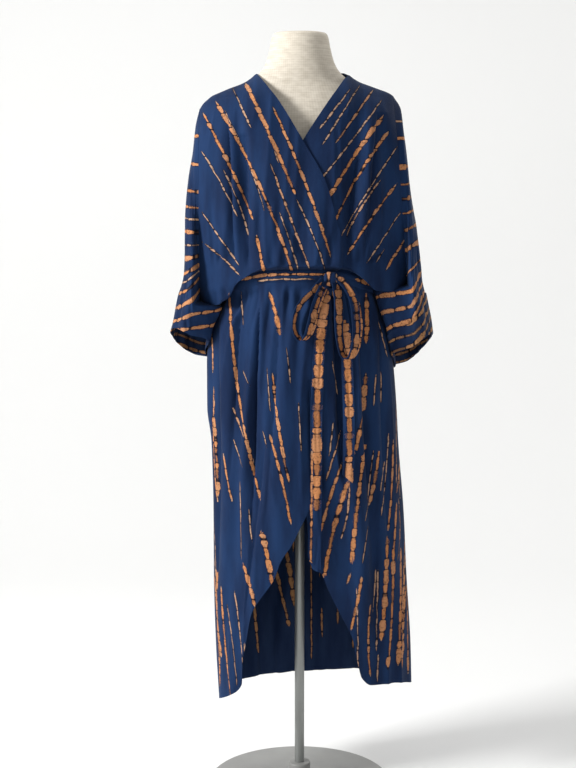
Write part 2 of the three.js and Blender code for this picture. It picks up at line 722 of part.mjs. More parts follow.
// Levels of a body panel, closer together where the cloth turns
const bodyLevels = [
  ...[0, 0.03, 0.07, 0.12, 0.18, 0.25, 0.34, 0.44, 0.54, 0.64, 0.74, 0.84, 0.93],
  ...[1, 1.14, 1.3, 1.46, 1.6, 2],
  ...[2.05, 2.11, 2.19, 2.28, 2.38, 2.48, 2.58, 2.68, 2.78, 2.87, 2.94, 3],
];

function frontPiece(name, panel, columns, material) {
  const plane = holePlane(panel.hole);
  return clothPiece(name, material, steps(0, 1, columns), bodyLevels, (s, l) => frontPoint(panel, s, l), {
    seamPlanes: (share, level) => {
      const planes = [];
      if (share === 1 && level <= 1) planes.push(plane);
      if (level === 0 || (share === 1 && level >= 1)) planes.push(middlePlane);
      return planes;
    },
  });
}

// Extra columns where the back's top edge turns from the shoulder into the neck
const neckColumns = [0.358, 0.371, 0.654, 0.6778];

function backPiece(name, columns, material) {
  const shares = [...steps(0, 1, columns), ...neckColumns].sort((a, b) => a - b);
  return clothPiece(name, material, shares, bodyLevels, backPoint, {
    seamPlanes: (share, level, point) => {
      const planes = [];
      const onSide = share === 0 || share === 1;
      if (onSide && level <= 1) planes.push(holePlane(share === 0 ? armholes.right : armholes.left));
      const onShoulder = level === 0 && Math.abs(point.x) >= neckPoint[sideName(point.x)];
      if (onShoulder || (onSide && level >= 1)) planes.push(middlePlane);
      return planes;
    },
  });
}

const sleeveAround = steps(0, 1, 32).slice(0, -1);
const sleeveAlong = [0, 0.04, 0.09, 0.15, 0.22, 0.3, 0.38, 0.46, 0.54, 0.62, 0.7, 0.77, 0.84, 0.9, 0.95, 1];

function sleevePiece(name, sleeve, material) {
  const plane = holePlane(sleeve.hole);
  return clothPiece(name, material, sleeveAround, sleeveAlong, (a, l) => sleevePoint(sleeve, a, l), {
    around: true,
    seamPlanes: (share, level) => (level === 0 ? [plane] : []),
  });
}

// The end of a sleeve turned up over itself
function turnUpPiece(name, sleeve, material) {
  const along = sleeveAlong.filter((place) => place >= turnUpStart);
  const pointAt = (around, place) => sleevePoint(sleeve, around, place);
  return clothPiece(name, material, sleeveAround, along, pointAt, { around: true, offset: turnUpLift });
}

// The belt circles the waist outside the fronts
function beltPiece(name, material) {
  const outward = clothWall / 2 + 0.4 + beltWall / 2;
  const pointAt = (around, level) => {
    const angle = 2 * Math.PI * around;
    const face = Math.cos(angle) >= 0 ? -1 : 1;
    const column = Math.sin(angle) < 0 ? 'right' : 'left';
    const low = beltLowHeight(angle, face);
    const half = read(skirtSections, 'height', column, low);
    const depth = read(skirtSections, 'height', face < 0 ? 'front' : 'back', low);
    const across = half * Math.sin(angle);
    const point = new THREE.Vector3(across, face * depth * depthShare(across, half), 0);
    const lift = outward + (face < 0 ? overlapLift * overlapShare(across) : 0);
    pushOut(point, half, depth, face, lift);
    return point.setZ(beltHeight(angle, face) + level * beltWidth);
  };
  const around = steps(0, 1, 72).slice(0, -1);
  return clothPiece(name, material, around, [-0.5, 0.5], pointAt, { around: true, thickness: beltWall });
}

// A flat band along a row of points, with a squared end
function ribbonPiece(name, material, points, turns, slantAtEnd = 0) {
  const curve = new THREE.CatmullRomCurve3(points, false, 'centripetal');
  const count = 3 * (points.length - 1);
  const turnTable = turns.map((turn, i) => ({ place: i / (turns.length - 1), turn }));
  const frames = steps(0, 1, count).map((place) => {
    const centre = curve.getPoint(place);
    const tangent = curve.getTangent(place);
    const turn = radians(read(turnTable, 'place', 'turn', place));
    const wide = new THREE.Vector3(Math.sin(turn), Math.cos(turn), 0);
    wide.addScaledVector(tangent, -wide.dot(tangent)).normalize();
    return { centre, wide, tangent };
  });
  const pointAt = (share, level) => {
    const frame = frames[Math.round(level * count)];
    const slant = level === 1 ? slantAtEnd * share : 0;
    return frame.centre
      .clone()
      .addScaledVector(frame.wide, share * beltWidth)
      .addScaledVector(frame.tangent, slant);
  };
  return clothPiece(name, material, [-0.5, 0, 0.5], steps(0, 1, count), pointAt, { thickness: ribbonWall });
}

function loopPiece(name, rows, material) {
  const points = rows.map((row) => new THREE.Vector3(row.x, row.y, row.z));
  return ribbonPiece(name, material, points, rows.map((row) => row.turn));
}

// A belt end hangs down the front, clear of the folds that it crosses
function tailPiece(name, rows, lift, material) {
  const points = rows.map(({ across, height, clear }) => {
    const half = read(skirtSections, 'height', 'left', height);
    const under = [-0.5, -0.25, 0, 0.25, 0.5].map((share) => {
      const angle = angleOf(across + share * beltWidth, half);
      return skirtPoint(-1, frontFolds, lift, angle, height).y;
    });
    return new THREE.Vector3(across, Math.min(...under) - clothWall / 2 - ribbonWall / 2 - clear, height);
  });
  return ribbonPiece(name, material, points, rows.map(() => 90), endSlant);
}

function knotPiece(name, material) {
  const { across, out, height, halfAcross, halfOut, halfHeight } = bow.knot;
  const shape = new THREE.SphereGeometry(1, 16, 10);
  const square = (value) => Math.sign(value) * Math.abs(value) ** 0.7;
  const source = shape.getAttribute('position');
  const positions = [];
  const keys = new Map();
  const renumber = [];
  for (let i = 0; i < source.count; i += 1) {
    const corner = new THREE.Vector3().fromBufferAttribute(source, i);
    const key = corner.toArray().map((value) => Math.round(value * 1000)).join();
    if (!keys.has(key)) {
      keys.set(key, positions.length / 3);
      positions.push(
        across + halfAcross * square(corner.x),
        out + halfOut * square(corner.z),
        height + halfHeight * square(corner.y),
      );
    }
    renumber.push(keys.get(key));
  }
  const triangles = [];
  const order = Array.from(shape.getIndex().array);
  for (let i = 0; i < order.length; i += 3) {
    const [a, b, c] = order.slice(i, i + 3).map((corner) => renumber[corner]);
    if (a !== b && b !== c && c !== a) triangles.push(a, b, c);
  }
  return meshOf(name, positions, facingOut(positions, triangles), material);
}

// The dress form: oval sections closed by a flat neck top and a flat underside
function formPiece(name, material) {
  const around = 36;
  const positions = [];
  const triangles = [];
  for (const { height, half, front, back, power = 1 } of formSections) {
    for (let i = 0; i < around; i += 1) {
      const angle = (2 * Math.PI * i) / around;
      const forward = Math.cos(angle);
      const away = Math.sign(forward) * Math.abs(forward) ** power;
      positions.push(half * Math.sin(angle), -(forward > 0 ? front : back) * away, height);
    }
  }
  const index = (row, i) => row * around + (i % around);
  const top = formSections.length - 1;
  for (let row = 0; row < top; row += 1) {
    for (let i = 0; i < around; i += 1) {
      triangles.push(index(row, i), index(row, i + 1), index(row + 1, i + 1));
      triangles.push(index(row, i), index(row + 1, i + 1), index(row + 1, i));
    }
  }
  const underside = positions.push(0, 0, formSections[0].height) / 3 - 1;
  const neckTop = positions.push(0, 0, formSections[top].height) / 3 - 1;
  for (let i = 0; i < around; i += 1) {
    triangles.push(underside, index(0, i + 1), index(0, i));
    triangles.push(neckTop, index(top, i), index(top, i + 1));
  }
  return meshOf(name, positions, facingOut(positions, triangles), material);
}

// A turned piece from a profile of radius and height; it stands on the Z axis
function turnedPiece(name, profile, segments, material) {
  const shape = new THREE.LatheGeometry(
    profile.map(([radius, height]) => new THREE.Vector2(radius, height)),
    segments,
  );
  shape.rotateX(Math.PI / 2);
  const mesh = new THREE.Mesh(shape, material);
  mesh.name = name;
  return mesh;
}

const cloth = new THREE.MeshStandardMaterial({ color: navy, roughness: 0.75, metalness: 0 });
const wrongSide = new THREE.MeshStandardMaterial({ color: fadedNavy, roughness: 0.8, metalness: 0 });
const canvas = new THREE.MeshStandardMaterial({ color: linen, roughness: 0.9, metalness: 0 });
const metal = new THREE.MeshStandardMaterial({ color: greyMetal, roughness: 0.4, metalness: 0.8 });

const garment = new THREE.Group();
garment.add(
  frontPiece('right_front', rightFront, 18, cloth),
  frontPiece('left_front', leftFront, 18, cloth),
  backPiece('back', 26, cloth),
  sleevePiece('right_sleeve', rightSleeve, cloth),
  sleevePiece('left_sleeve', leftSleeve, cloth),
  turnUpPiece('left_cuff_turn_up', leftSleeve, wrongSide),
  beltPiece('belt', cloth),
  knotPiece('belt_knot', cloth),
  loopPiece('right_bow_loop', bow.rightLoop, cloth),
  loopPiece('left_bow_loop', bow.leftLoop, cloth),
  tailPiece('right_belt_end', bow.rightTail, overlapLift, cloth),
  tailPiece('left_belt_end', bow.leftTail, 0, cloth),
);

const poleBottom = baseHubHeight + seamGap;
const poleTop = formBottom - seamGap;
const poleProfile = [
  [0, poleBottom],
  [poleRadius, poleBottom],
  [poleRadius, poleTop],
  [0, poleTop],
];
const stand = new THREE.Group();
stand.add(
  formPiece('dress_form', canvas),
  turnedPiece('pole', poleProfile, 24, metal),
  turnedPiece(
    'base_plate',
    [
      [0, 0],
      [basePlateRadius, 0],
      [basePlateRadius, basePlateThickness - 3],
      [basePlateRadius - 5, basePlateThickness],
      [baseHubRadius, basePlateThickness],
      [baseHubRadius - 4, baseHubHeight],
      [0, baseHubHeight],
    ],
    48,
    metal,
  ),
);

const object = new THREE.Group();
object.add(garment, stand);
export default object;
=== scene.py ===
# %% [markdown]
# # A wrap kimono jacket on a dress form
# The garment is a long jacket of soft viscose, dyed navy with chains of tan marks that the binding
# threads kept from the dye. It hangs on a canvas dress form, wrapped right over left and tied with
# a narrow belt. Each cell below makes one piece or one finish. The frame comes first: it holds the
# solids that every piece has to follow.

# %% Load the frame
import math

import bpy
import numpy as np
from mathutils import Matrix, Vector


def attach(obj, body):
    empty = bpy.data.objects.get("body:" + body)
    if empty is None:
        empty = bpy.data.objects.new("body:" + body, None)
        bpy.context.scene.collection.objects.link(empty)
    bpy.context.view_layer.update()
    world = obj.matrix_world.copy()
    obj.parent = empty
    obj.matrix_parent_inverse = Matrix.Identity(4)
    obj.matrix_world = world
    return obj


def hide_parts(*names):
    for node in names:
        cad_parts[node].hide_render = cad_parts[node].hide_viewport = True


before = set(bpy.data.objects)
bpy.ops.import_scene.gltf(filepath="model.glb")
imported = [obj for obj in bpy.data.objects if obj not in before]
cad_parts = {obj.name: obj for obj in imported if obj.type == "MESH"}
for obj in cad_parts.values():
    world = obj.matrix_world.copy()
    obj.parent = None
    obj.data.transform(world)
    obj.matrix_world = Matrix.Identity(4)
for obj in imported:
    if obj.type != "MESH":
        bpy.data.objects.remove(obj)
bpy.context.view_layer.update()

MM = 0.001
print("solids in the frame:", len(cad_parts))

# %% [markdown]
# ## Camera, light and ground
# A garment is photographed from a few steps away with a long lens, so that its hem looks no wider
# than it is. A target point turns the camera. The main light stands far to the left, so that the
# folds show by their own shade, and large weak lights fill in from the other sides.

# %% Camera
CAMERA_PLACE = Vector((-0.023, -3.0, 1.210))
CAMERA_TARGET = Vector((-0.023, 0.0, 0.812))
LENS = 97.0
SENSOR = 36.0


def aim(thing, target):
    thing.rotation_euler = (target - thing.location).to_track_quat("-Z", "Y").to_euler()


def add_camera():
    camera_data = bpy.data.cameras.new("camera")
    camera_data.sensor_fit = "HORIZONTAL"
    camera_data.sensor_width = SENSOR
    camera_data.lens = LENS
    camera = bpy.data.objects.new("camera", camera_data)
    bpy.context.collection.objects.link(camera)
    camera.location = CAMERA_PLACE
    aim(camera, CAMERA_TARGET)
    bpy.context.scene.camera = camera


add_camera()
print("camera", [round(value, 3) for value in CAMERA_PLACE])

# %% Lights
SOFT_LIGHTS = {
    "key_light": {"place": (-2.9, -1.4, 2.3), "width": 0.9, "watts": 150},
    "fill_light": {"place": (2.4, -2.2, 1.6), "width": 1.8, "watts": 9},
    "front_light": {"place": (-0.1, -3.6, 1.9), "width": 1.6, "watts": 11},
    "top_light": {"place": (0.2, 0.6, 3.2), "width": 2.0, "watts": 26},
    "back_light": {"place": (2.7, 2.0, 2.3), "width": 1.6, "watts": 24},
}
LIGHT_TARGET = Vector((0.0, 0.0, 0.85))
SKY_STRENGTH = 0.24


def add_light(name, place, width, watts):
    light = bpy.data.lights.new(name, "AREA")
    light.shape = "SQUARE"
    light.size = width
    light.energy = watts
    lamp = bpy.data.objects.new(name, light)
    bpy.context.collection.objects.link(lamp)
    lamp.location = place
    aim(lamp, LIGHT_TARGET)


def add_sky():
    world = bpy.data.worlds.new("studio")
    world.use_nodes = True
    background = world.node_tree.nodes["Background"]
    background.inputs["Color"].default_value = (1.0, 1.0, 1.0, 1.0)
    background.inputs["Strength"].default_value = SKY_STRENGTH
    bpy.context.scene.world = world


for light_name, light_row in SOFT_LIGHTS.items():
    add_light(light_name, **light_row)
add_sky()
bpy.context.scene.view_settings.view_transform = "Standard"
print("lights:", ", ".join(SOFT_LIGHTS))

# %% [markdown]
# ## Small helpers for finishes
# Every finish below is a net of shader nodes. These short helpers add one node each. A wire stands for
# one value on its way between nodes and can be added or multiplied like a number, so that a material
# reads like a recipe: a sum, a mix of two colours, a random pattern.

# %% Shader helpers


class Wire:
    """A value in a shader tree. Sums and products of such values become math nodes."""

    def __init__(self, tree, socket):
        self.tree = tree
        self.socket = socket

    def __add__(self, other):
        return calc("ADD", self, other)

    def __sub__(self, other):
        return calc("SUBTRACT", self, other)

    def __mul__(self, other):
        return calc("MULTIPLY", self, other)

    def __truediv__(self, other):
        return calc("DIVIDE", self, other)


def new_finish(name, roughness, metallic=0.0):
    material = bpy.data.materials.new(name)
    material.use_nodes = True
    tree = material.node_tree
    shader = tree.nodes["Principled BSDF"]
    shader.inputs["Roughness"].default_value = roughness
    shader.inputs["Metallic"].default_value = metallic
    return material, tree, shader


def tree_of(values):
    return next(value.tree for value in values if isinstance(value, Wire))


def plug(value, socket):
    if isinstance(value, Wire):
        value.tree.links.new(value.socket, socket)
    elif socket.type == "RGBA":
        socket.default_value = (*value, 1.0)
    else:
        socket.default_value = value


def calc(operation, *values):
    tree = tree_of(values)
    node = tree.nodes.new("ShaderNodeMath")
    node.operation = operation
    for value, socket in zip(values, node.inputs):
        plug(value, socket)
    return Wire(tree, node.outputs["Value"])


def fade(value, start, end, start_value=0.0, end_value=1.0):
    node = value.tree.nodes.new("ShaderNodeMapRange")
    node.interpolation_type = "SMOOTHSTEP"
    sockets = ("Value", "From Min", "From Max", "To Min", "To Max")
    for name, item in zip(sockets, (value, start, end, start_value, end_value)):
        plug(item, node.inputs[name])
    return Wire(value.tree, node.outputs["Result"])


def blend_colours(share, first, second):
    node = share.tree.nodes.new("ShaderNodeMix")
    node.data_type = "RGBA"
    plug(share, node.inputs["Factor"])
    plug(first, node.inputs[6])
    plug(second, node.inputs[7])
    return Wire(share.tree, node.outputs[2])


def noise(place, scale, detail=2.0, dimensions="3D"):
    node = place.tree.nodes.new("ShaderNodeTexNoise")
    node.noise_dimensions = dimensions
    node.inputs["Scale"].default_value = scale
    node.inputs["Detail"].default_value = detail
    plug(place, node.inputs["W" if dimensions == "1D" else "Vector"])
    return Wire(place.tree, node.outputs["Fac"])


def join(*sides):
    tree = tree_of(sides)
    node = tree.nodes.new("ShaderNodeCombineXYZ")
    for value, socket in zip(sides, node.inputs):
        plug(value, socket)
    return Wire(tree, node.outputs["Vector"])


def split(vector):
    node = vector.tree.nodes.new("ShaderNodeSeparateXYZ")
    plug(vector, node.inputs["Vector"])
    return [Wire(vector.tree, node.outputs[name]) for name in "XYZ"]


def attribute(tree, name):
    node = tree.nodes.new("ShaderNodeAttribute")
    node.attribute_name = name
    return Wire(tree, node.outputs["Vector"])


def object_place(tree):
    return Wire(tree, tree.nodes.new("ShaderNodeTexCoord").outputs["Object"])


def relief(shader, height, depth, strength):
    node = height.tree.nodes.new("ShaderNodeBump")
    node.inputs["Distance"].default_value = depth
    node.inputs["Strength"].default_value = strength
    plug(height, node.inputs["Height"])
    height.tree.links.new(node.outputs["Normal"], shader.inputs["Normal"])


print("shader helpers ready")

# %% [markdown]
# ## The dyed cloth
# Before dyeing, the cloth is stitched and bound in rows. Under the threads the tan ground stays in
# small beads, with thin dark lines where the thread was tightest and a dark halo beside it. The
# sheets below carry, at each corner, how far it lies from the nearest row, how far along that row
# it is, and how wide the row is. The shader turns these into beads. Working with distances keeps
# every bead sharp at any zoom, which a grid of colours could not do.

# %% Cloth finish
CLOTH_BLUE = (0.010, 0.031, 0.094)
CLOTH_DEEP = (0.006, 0.016, 0.052)
CLOTH_INK = (0.003, 0.004, 0.011)
BEAD_TAN = (0.520, 0.195, 0.058)
BEAD_PALE = (0.430, 0.275, 0.190)
WRONG_BLUE = (0.014, 0.030, 0.078)
WRONG_TAN = (0.380, 0.190, 0.085)
INK_LINE = 1.3
INK_STRENGTH = 0.9
HALO_REACH = 2.4
HALO_STRENGTH = 0.8
SOFT_EDGE = 0.45
ROW_WANDER = 2.2
BEAD_UNEVEN = 1.3
STITCH_INSET = 6.0
STITCH_LENGTH = 2.6
FINE_THREADS = 900.0


def bead_masks(tree):
    side, run, half = split(attribute(tree, "row_place"))
    bead_length, seed, edge = split(attribute(tree, "row_kind"))
    wander = noise(run * 0.045 + seed, 1.0, 1.0, "1D")
    side = side + (wander - 0.5) * ROW_WANDER
    aside = calc("ABSOLUTE", side)
    count = run / bead_length + seed + wander * BEAD_UNEVEN
    bead = calc("FRACT", count)
    chance = tree.nodes.new("ShaderNodeTexWhiteNoise")
    chance.noise_dimensions = "2D"
    plug(join(calc("FLOOR", count), seed), chance.inputs["Vector"])
    luck = Wire(tree, chance.outputs["Value"])
    crown = calc("POWER", calc("SINE", calc("POWER", bead, 0.72) * math.pi), 0.55)
    width = fade(luck, 0.0, 1.0, 0.55, 1.2)
    wobble = noise(join(side * 0.5, run * 0.35, seed), 1.0)
    reach = half * width * calc("MULTIPLY_ADD", crown, 0.85, 0.15) * (wobble + 0.55)
    to_end = calc("MINIMUM", bead, calc("SUBTRACT", 1.0, bead)) * bead_length
    tied = fade(to_end, INK_LINE * 1.4, INK_LINE * 0.5)
    return {
        "inside": fade(reach - aside, -SOFT_EDGE, SOFT_EDGE),
        "ink": tied * fade(aside - half * 1.1, 0.8, 0.0),
        "halo": fade(aside - reach, HALO_REACH, 0.3),
        "luck": luck,
        "half": half,
        "edge": edge,
        "run": run,
    }


def cloth_colour(tree, masks, blue, deep, tan, pale):
    place = object_place(tree)
    x, y, z = split(place)
    cloudy = fade(noise(join(x * 5.0, y, z), 7.0, 5.0), 0.3, 0.7)
    ground = blend_colours(cloudy, deep, blue)
    ground = blend_colours(masks["halo"] * HALO_STRENGTH, ground, CLOTH_INK)
    paleness = fade(masks["half"], 2.6, 1.4, 0.1, 0.95)
    mark = blend_colours(calc("MAXIMUM", paleness, masks["luck"] * 0.45), tan, pale)
    streak = noise(place, 260.0, 4.0)
    mark = blend_colours(fade(streak, 0.48, 0.72, 0.0, 0.6), mark, CLOTH_INK)
    taken = masks["inside"] * fade(masks["luck"], 0.0, 0.3, 0.45, 1.0)
    colour = blend_colours(taken, ground, mark)
    return blend_colours(masks["ink"] * INK_STRENGTH, colour, CLOTH_INK)


def fine_weave(place):
    x, y, z = split(place)
    turns = 2 * math.pi * FINE_THREADS
    return calc("SINE", (x + y) * turns) * calc("SINE", z * turns)


def stitch_line(masks):
    """Small stitches that run just inside a turned edge."""
    on_line = fade(calc("ABSOLUTE", masks["edge"] - STITCH_INSET), 0.55, 0.15)
    gap = calc("FRACT", masks["run"] / STITCH_LENGTH)
    return on_line * fade(gap, 0.3, 0.42)


def make_cloth(name, blue, deep, tan, pale, sheen):
    material, tree, shader = new_finish(name, 0.75)
    masks = bead_masks(tree)
    plug(cloth_colour(tree, masks, blue, deep, tan, pale), shader.inputs["Base Color"])
    shader.inputs["Sheen Weight"].default_value = sheen
    shader.inputs["Sheen Roughness"].default_value = 0.45
    shader.inputs["Specular IOR Level"].default_value = 0.09
    place = object_place(tree)
    crepe = noise(place, 210.0, 3.0)
    height = fine_weave(place) * 0.12 + crepe - masks["ink"] * 0.6 - stitch_line(masks)
    relief(shader, height, 0.0005, 0.5)
    return material


cloth = make_cloth("dyed_cloth", CLOTH_BLUE, CLOTH_DEEP, BEAD_TAN, BEAD_PALE, 0.03)
wrong_side = make_cloth("dyed_cloth_reverse", WRONG_BLUE, CLOTH_DEEP, WRONG_TAN, WRONG_TAN, 0.02)
print("cloth finishes:", cloth.name, wrong_side.name)

# %% [markdown]
# ## Tables and smooth curves
# A pattern cutter writes a garment down as a few measured places, in millimetres. Each table below
# does the same, and a smooth curve runs through its rows without swinging past them.

# %% Reading tables


def table(names, *rows):
    return {name: np.array(column, float) for name, column in zip(names.split(), zip(*rows))}


def read(rows, key, column, place):
    keys = rows[key]
    values = rows[column]
    rise = np.diff(values) / np.diff(keys)
    tangent = np.concatenate(([rise[0]], np.zeros(len(keys) - 2), [rise[-1]]))
    product = rise[:-1] * rise[1:]
    total = np.where(product > 0, rise[:-1] + rise[1:], 1.0)
    tangent[1:-1] = np.where(product > 0, 2 * product / total, 0.0)
    place = np.clip(np.asarray(place, float), keys[0], keys[-1])
    row = np.clip(np.searchsorted(keys, place) - 1, 0, len(keys) - 2)
    span = keys[row + 1] - keys[row]
    share = (place - keys[row]) / span
    square = share * share
    cube = square * share
    return (
        (2 * cube - 3 * square + 1) * values[row]
        + (cube - 2 * square + share) * span * tangent[row]
        + (3 * square - 2 * cube) * values[row + 1]
        + (cube - square) * span * tangent[row + 1]
    )


def ease(share):
    inside = np.clip(share, 0.0, 1.0)
    return inside * inside * (3 - 2 * inside)


def mix(first, second, share):
    return first + (second - first) * share


def by_side(across, right, left):
    return np.where(np.asarray(across) < 0, right, left)


LATTICE = 64


def random_hills(u, v, seed):
    """Smooth random heights from -1 to 1, one hill for each unit of u and v."""
    lattice = np.random.default_rng(seed).uniform(-1, 1, (LATTICE, LATTICE))
    column = np.floor(u).astype(int)
    row = np.floor(v).astype(int)
    u_share = ease(u - column)
    v_share = ease(v - row)

    def corner(down, aside):
        return lattice[(row + down) % LATTICE, (column + aside) % LATTICE]

    low = mix(corner(0, 0), corner(0, 1), u_share)
    high = mix(corner(1, 0), corner(1, 1), u_share)
    return mix(low, high, v_share)


print("table reader ready")

# %% [markdown]
# ## The cut and how it hangs
# The jacket is nearly flat when it is cut: two fronts, a back and two wide sleeves. Worn, it blouses
# over the belt, turns in under it and opens below into a skirt whose fronts curve away. The tables
# give that hung shape as sections. They are the same measures that the solids were made from, so the
# thin cloth lies just where the solid cloth does.

# %% Measures of the garment
THIN_WALL = 1.0
SEAM_GAP = 0.3
ARMHOLE_GAP = 0.4
OVERLAP_LIFT = 3.2
NECK_POINT = {"right": 82, "left": 93}
NECK_HEIGHT = 1406
NECK_BACK_DEPTH = 64
ARMHOLE_SWELL = 26
SHOULDER_ROUND = 0.22
BLOUSE_PUFF = 8
BELT_FRONT = 1029
BELT_BACK = 1016
BELT_SIDE_DROP = 30
BELT_WIDTH = 22
BELT_CLEARANCE = 6
SECTION_POWER = 0.4
TURN_END = 0.6

SHOULDER_LINE = table(
    "across right left",
    (0, 1411, 1411), (82, 1406, 1409), (92, 1398.5, 1404), (103, 1391, 1396), (115, 1385.5, 1389.5),
    (133, 1379, 1383), (151, 1371.5, 1376.5), (166, 1365, 1371), (176, 1357.5, 1365),
    (184, 1350, 1356), (192, 1338, 1338),
)
BODICE_DEPTH = table(
    "height front back",
    (970, 112, 100), (1046, 116, 100), (1150, 121, 102), (1255, 113, 101), (1343, 94, 92),
    (1406, 78, 80),
)
BLOUSE_LINE = table(
    "across front back",
    (-191, 977, 977), (-164, 972, 980), (-140, 984, 992), (-115, 1020, 1014), (-60, 1049, 1037),
    (50, 1052, 1040), (95, 1041, 1034), (120, 1022, 1018), (146, 1000, 1006), (175, 999, 1006),
    (204, 1008, 1008),
)
WAIST_TURN = table(
    "turn inward up",
    (0, 0, 0), (0.14, 0.1, 0.14), (0.3, 0.42, 0.62), (0.46, 0.78, 1), (0.6, 1, 1), (1, 1, 1),
)
SKIRT_SECTIONS = table(
    "height right left front back",
    (177, 160, 224, 112, 134), (300, 166, 220, 122, 132), (430, 169, 211, 128, 128),
    (560, 169, 204, 131, 124), (700, 172, 192, 132, 122), (770, 180, 188, 132, 122),
    (853, 180, 181, 130, 122), (920, 173, 172, 126, 118), (960, 156, 158, 120, 110),
    (990, 144, 147, 113, 99), (1005, 142, 144, 110, 95),
)
ARMHOLES = {"right": (190.7, 191), "left": (176, 204)}
SIDE_SIGN = {"right": -1, "left": 1}
FACE_NAME = {-1: "front", 1: "back"}

RIGHT_FRONT = {
    "side": "right",
    "lift": OVERLAP_LIFT,
    "edge": table(
        "height across",
        (600, 20), (700, 20), (818, 22), (915, 36), (993, 45), (1025, 66), (1070, 82), (1130, 66),
        (1200, 45), (1275, 3.5), (1343, -36), (1406, -82),
    ),
    "hem": table(
        "share height",
        (0, 600), (0.044, 566), (0.113, 523), (0.188, 489), (0.232, 455), (0.29, 430), (0.347, 408),
        (0.397, 384), (0.448, 328), (0.481, 290), (0.51, 236), (0.6, 214), (1, 178),
    ),
}
LEFT_FRONT = {
    "side": "left",
    "lift": 0.0,
    "edge": table(
        "height across",
        (500, 15), (530, 15), (600, 10), (700, -5), (850, -30), (990, -60), (1029, -75), (1100, -66),
        (1200, -40), (1275, 5), (1343, 49), (1406, 93),
    ),
    "hem": table(
        "share height",
        (0, 500), (0.03, 474), (0.08, 466), (0.127, 431), (0.2, 383), (0.275, 333), (0.3, 292),
        (0.335, 252), (0.4, 236), (0.616, 232), (1, 213),
    ),
}
BACK_HEM = table("share height", (0, 178), (0.25, 184), (0.5, 190), (0.75, 205), (1, 213))

LARGE_FOLDS = "top_across top low_across low width lift"
FRONT_FOLDS = table(
    LARGE_FOLDS,
    (-60, 1340, -45, 1050, 20, 4), (-118, 1372, -98, 1030, 13, -8), (-142, 1360, -136, 1000, 18, 7),
    (60, 1330, 40, 1050, 20, 4), (112, 1375, 92, 1030, 14, -7), (146, 1360, 122, 1020, 18, 7),
    (-78, 1012, -122, 560, 13, 9), (-58, 1005, -98, 500, 12, -6), (-104, 990, -146, 240, 11, -7),
    (-20, 1000, -48, 470, 24, 4), (72, 1000, 82, 640, 9, -8), (100, 1000, 118, 330, 16, 8),
    (120, 985, 152, 250, 11, -7), (40, 820, 56, 470, 16, 4),
)
BACK_FOLDS = table(
    LARGE_FOLDS,
    (-105, 1350, -70, 1035, 18, 6), (-60, 1330, -30, 1035, 15, -6), (100, 1350, 72, 1035, 18, 6),
    (55, 1330, 30, 1035, 15, -6), (-105, 995, -128, 185, 16, 9), (-76, 1005, -92, 190, 14, -8),
    (-44, 1005, -50, 190, 17, 10), (-14, 1005, -8, 190, 14, -8), (18, 1005, 36, 190, 17, 9),
    (48, 1005, 78, 195, 14, -8), (80, 1005, 124, 200, 18, 10), (106, 995, 164, 205, 13, -7),
)
CREASES = "top_across top low_across low right left depth"
FRONT_CREASES = table(
    CREASES,
    (-76, 1011, -98, 520, 30, 3, 20), (-118, 1006, -140, 620, 4, 16, 11),
    (-160, 1000, -162, 330, 14, 6, 11), (62, 1004, 78, 640, 4, 20, 14),
    (-102, 1290, -98, 1042, 24, 4, 14), (-136, 1330, -122, 1030, 18, 3, 12),
    (108, 1250, 84, 1050, 20, 4, 12), (144, 1330, 116, 1030, 4, 18, 12),
    (-34, 980, -64, 560, 20, 4, 9), (112, 990, 136, 520, 4, 18, 12), (152, 980, 174, 400, 6, 14, 9),
    (14, 840, 26, 600, 4, 16, 8), (-152, 1066, -98, 1028, 10, 6, 7), (152, 1074, 102, 1036, 6, 10, 7),
    (-20, 1120, 22, 1036, 6, 14, 6), (30, 700, 76, 470, 4, 20, 9), (-66, 720, -110, 330, 20, 4, 10),
    (150, 560, 150, 240, 14, 6, 8),
)
BACK_CREASES = table(
    CREASES,
    (-90, 1330, -52, 1040, 6, 15, 9), (86, 1330, 48, 1040, 15, 6, 9),
    (-92, 1000, -112, 300, 6, 14, 10), (-60, 1000, -72, 260, 12, 6, 11),
    (-28, 1000, -30, 260, 6, 14, 10), (4, 1000, 12, 260, 12, 6, 11), (34, 1000, 56, 260, 6, 14, 10),
    (66, 1000, 102, 260, 12, 6, 11), (96, 1000, 146, 300, 6, 12, 10),
)
print("front folds:", len(FRONT_FOLDS["lift"]), "back folds:", len(BACK_FOLDS["lift"]))

# %% [markdown]
# ## Folds large and small
# The large folds come from the tables. Soft cloth also breaks into many small ones: close gathers
# where the belt pulls it in, long faint pulls above and below, and slow waves towards the hem. They
# are random hills stretched along the fall of the cloth. Both fronts read the same hills at the same
# place, so the upper one never sinks through the lower one.

# %% Folds
GATHERS = {"front": 11, "back": 23}
MEAN_REACH = 190.0
GATHER_LIFT = 4.8
PULL_LIFT = 2.8
WAVE_LIFT = 3.0
BELT_QUIET = 14.0


def fold_lift(folds, across, height):
    lift = np.zeros_like(across)
    for top_across, top, low_across, low, width, depth in zip(*folds.values()):
        down = (top - height) / (top - low)
        reach = np.sin(np.pi * np.clip(down, 0.0, 1.0)) ** 0.6
        centre = mix(top_across, low_across, down)
        lift += depth * np.exp(-(((across - centre) / width) ** 2)) * reach
    return lift


def crease_drop(face, across, height):
    """Sharp valleys that deepen and die away, one side steeper than the other."""
    drop = np.zeros_like(across)
    creases = FRONT_CREASES if face < 0 else BACK_CREASES
    for top_across, top, low_across, low, right, left, depth in zip(*creases.values()):
        down = np.clip((top - height) / (top - low), 0.0, 1.0)
        aside = across - mix(top_across, low_across, down)
        width = np.where(aside < 0, right, left)
        drop += depth * np.exp(-np.abs(aside) / width) * np.sin(np.pi * down**0.6) ** 0.7
    return drop


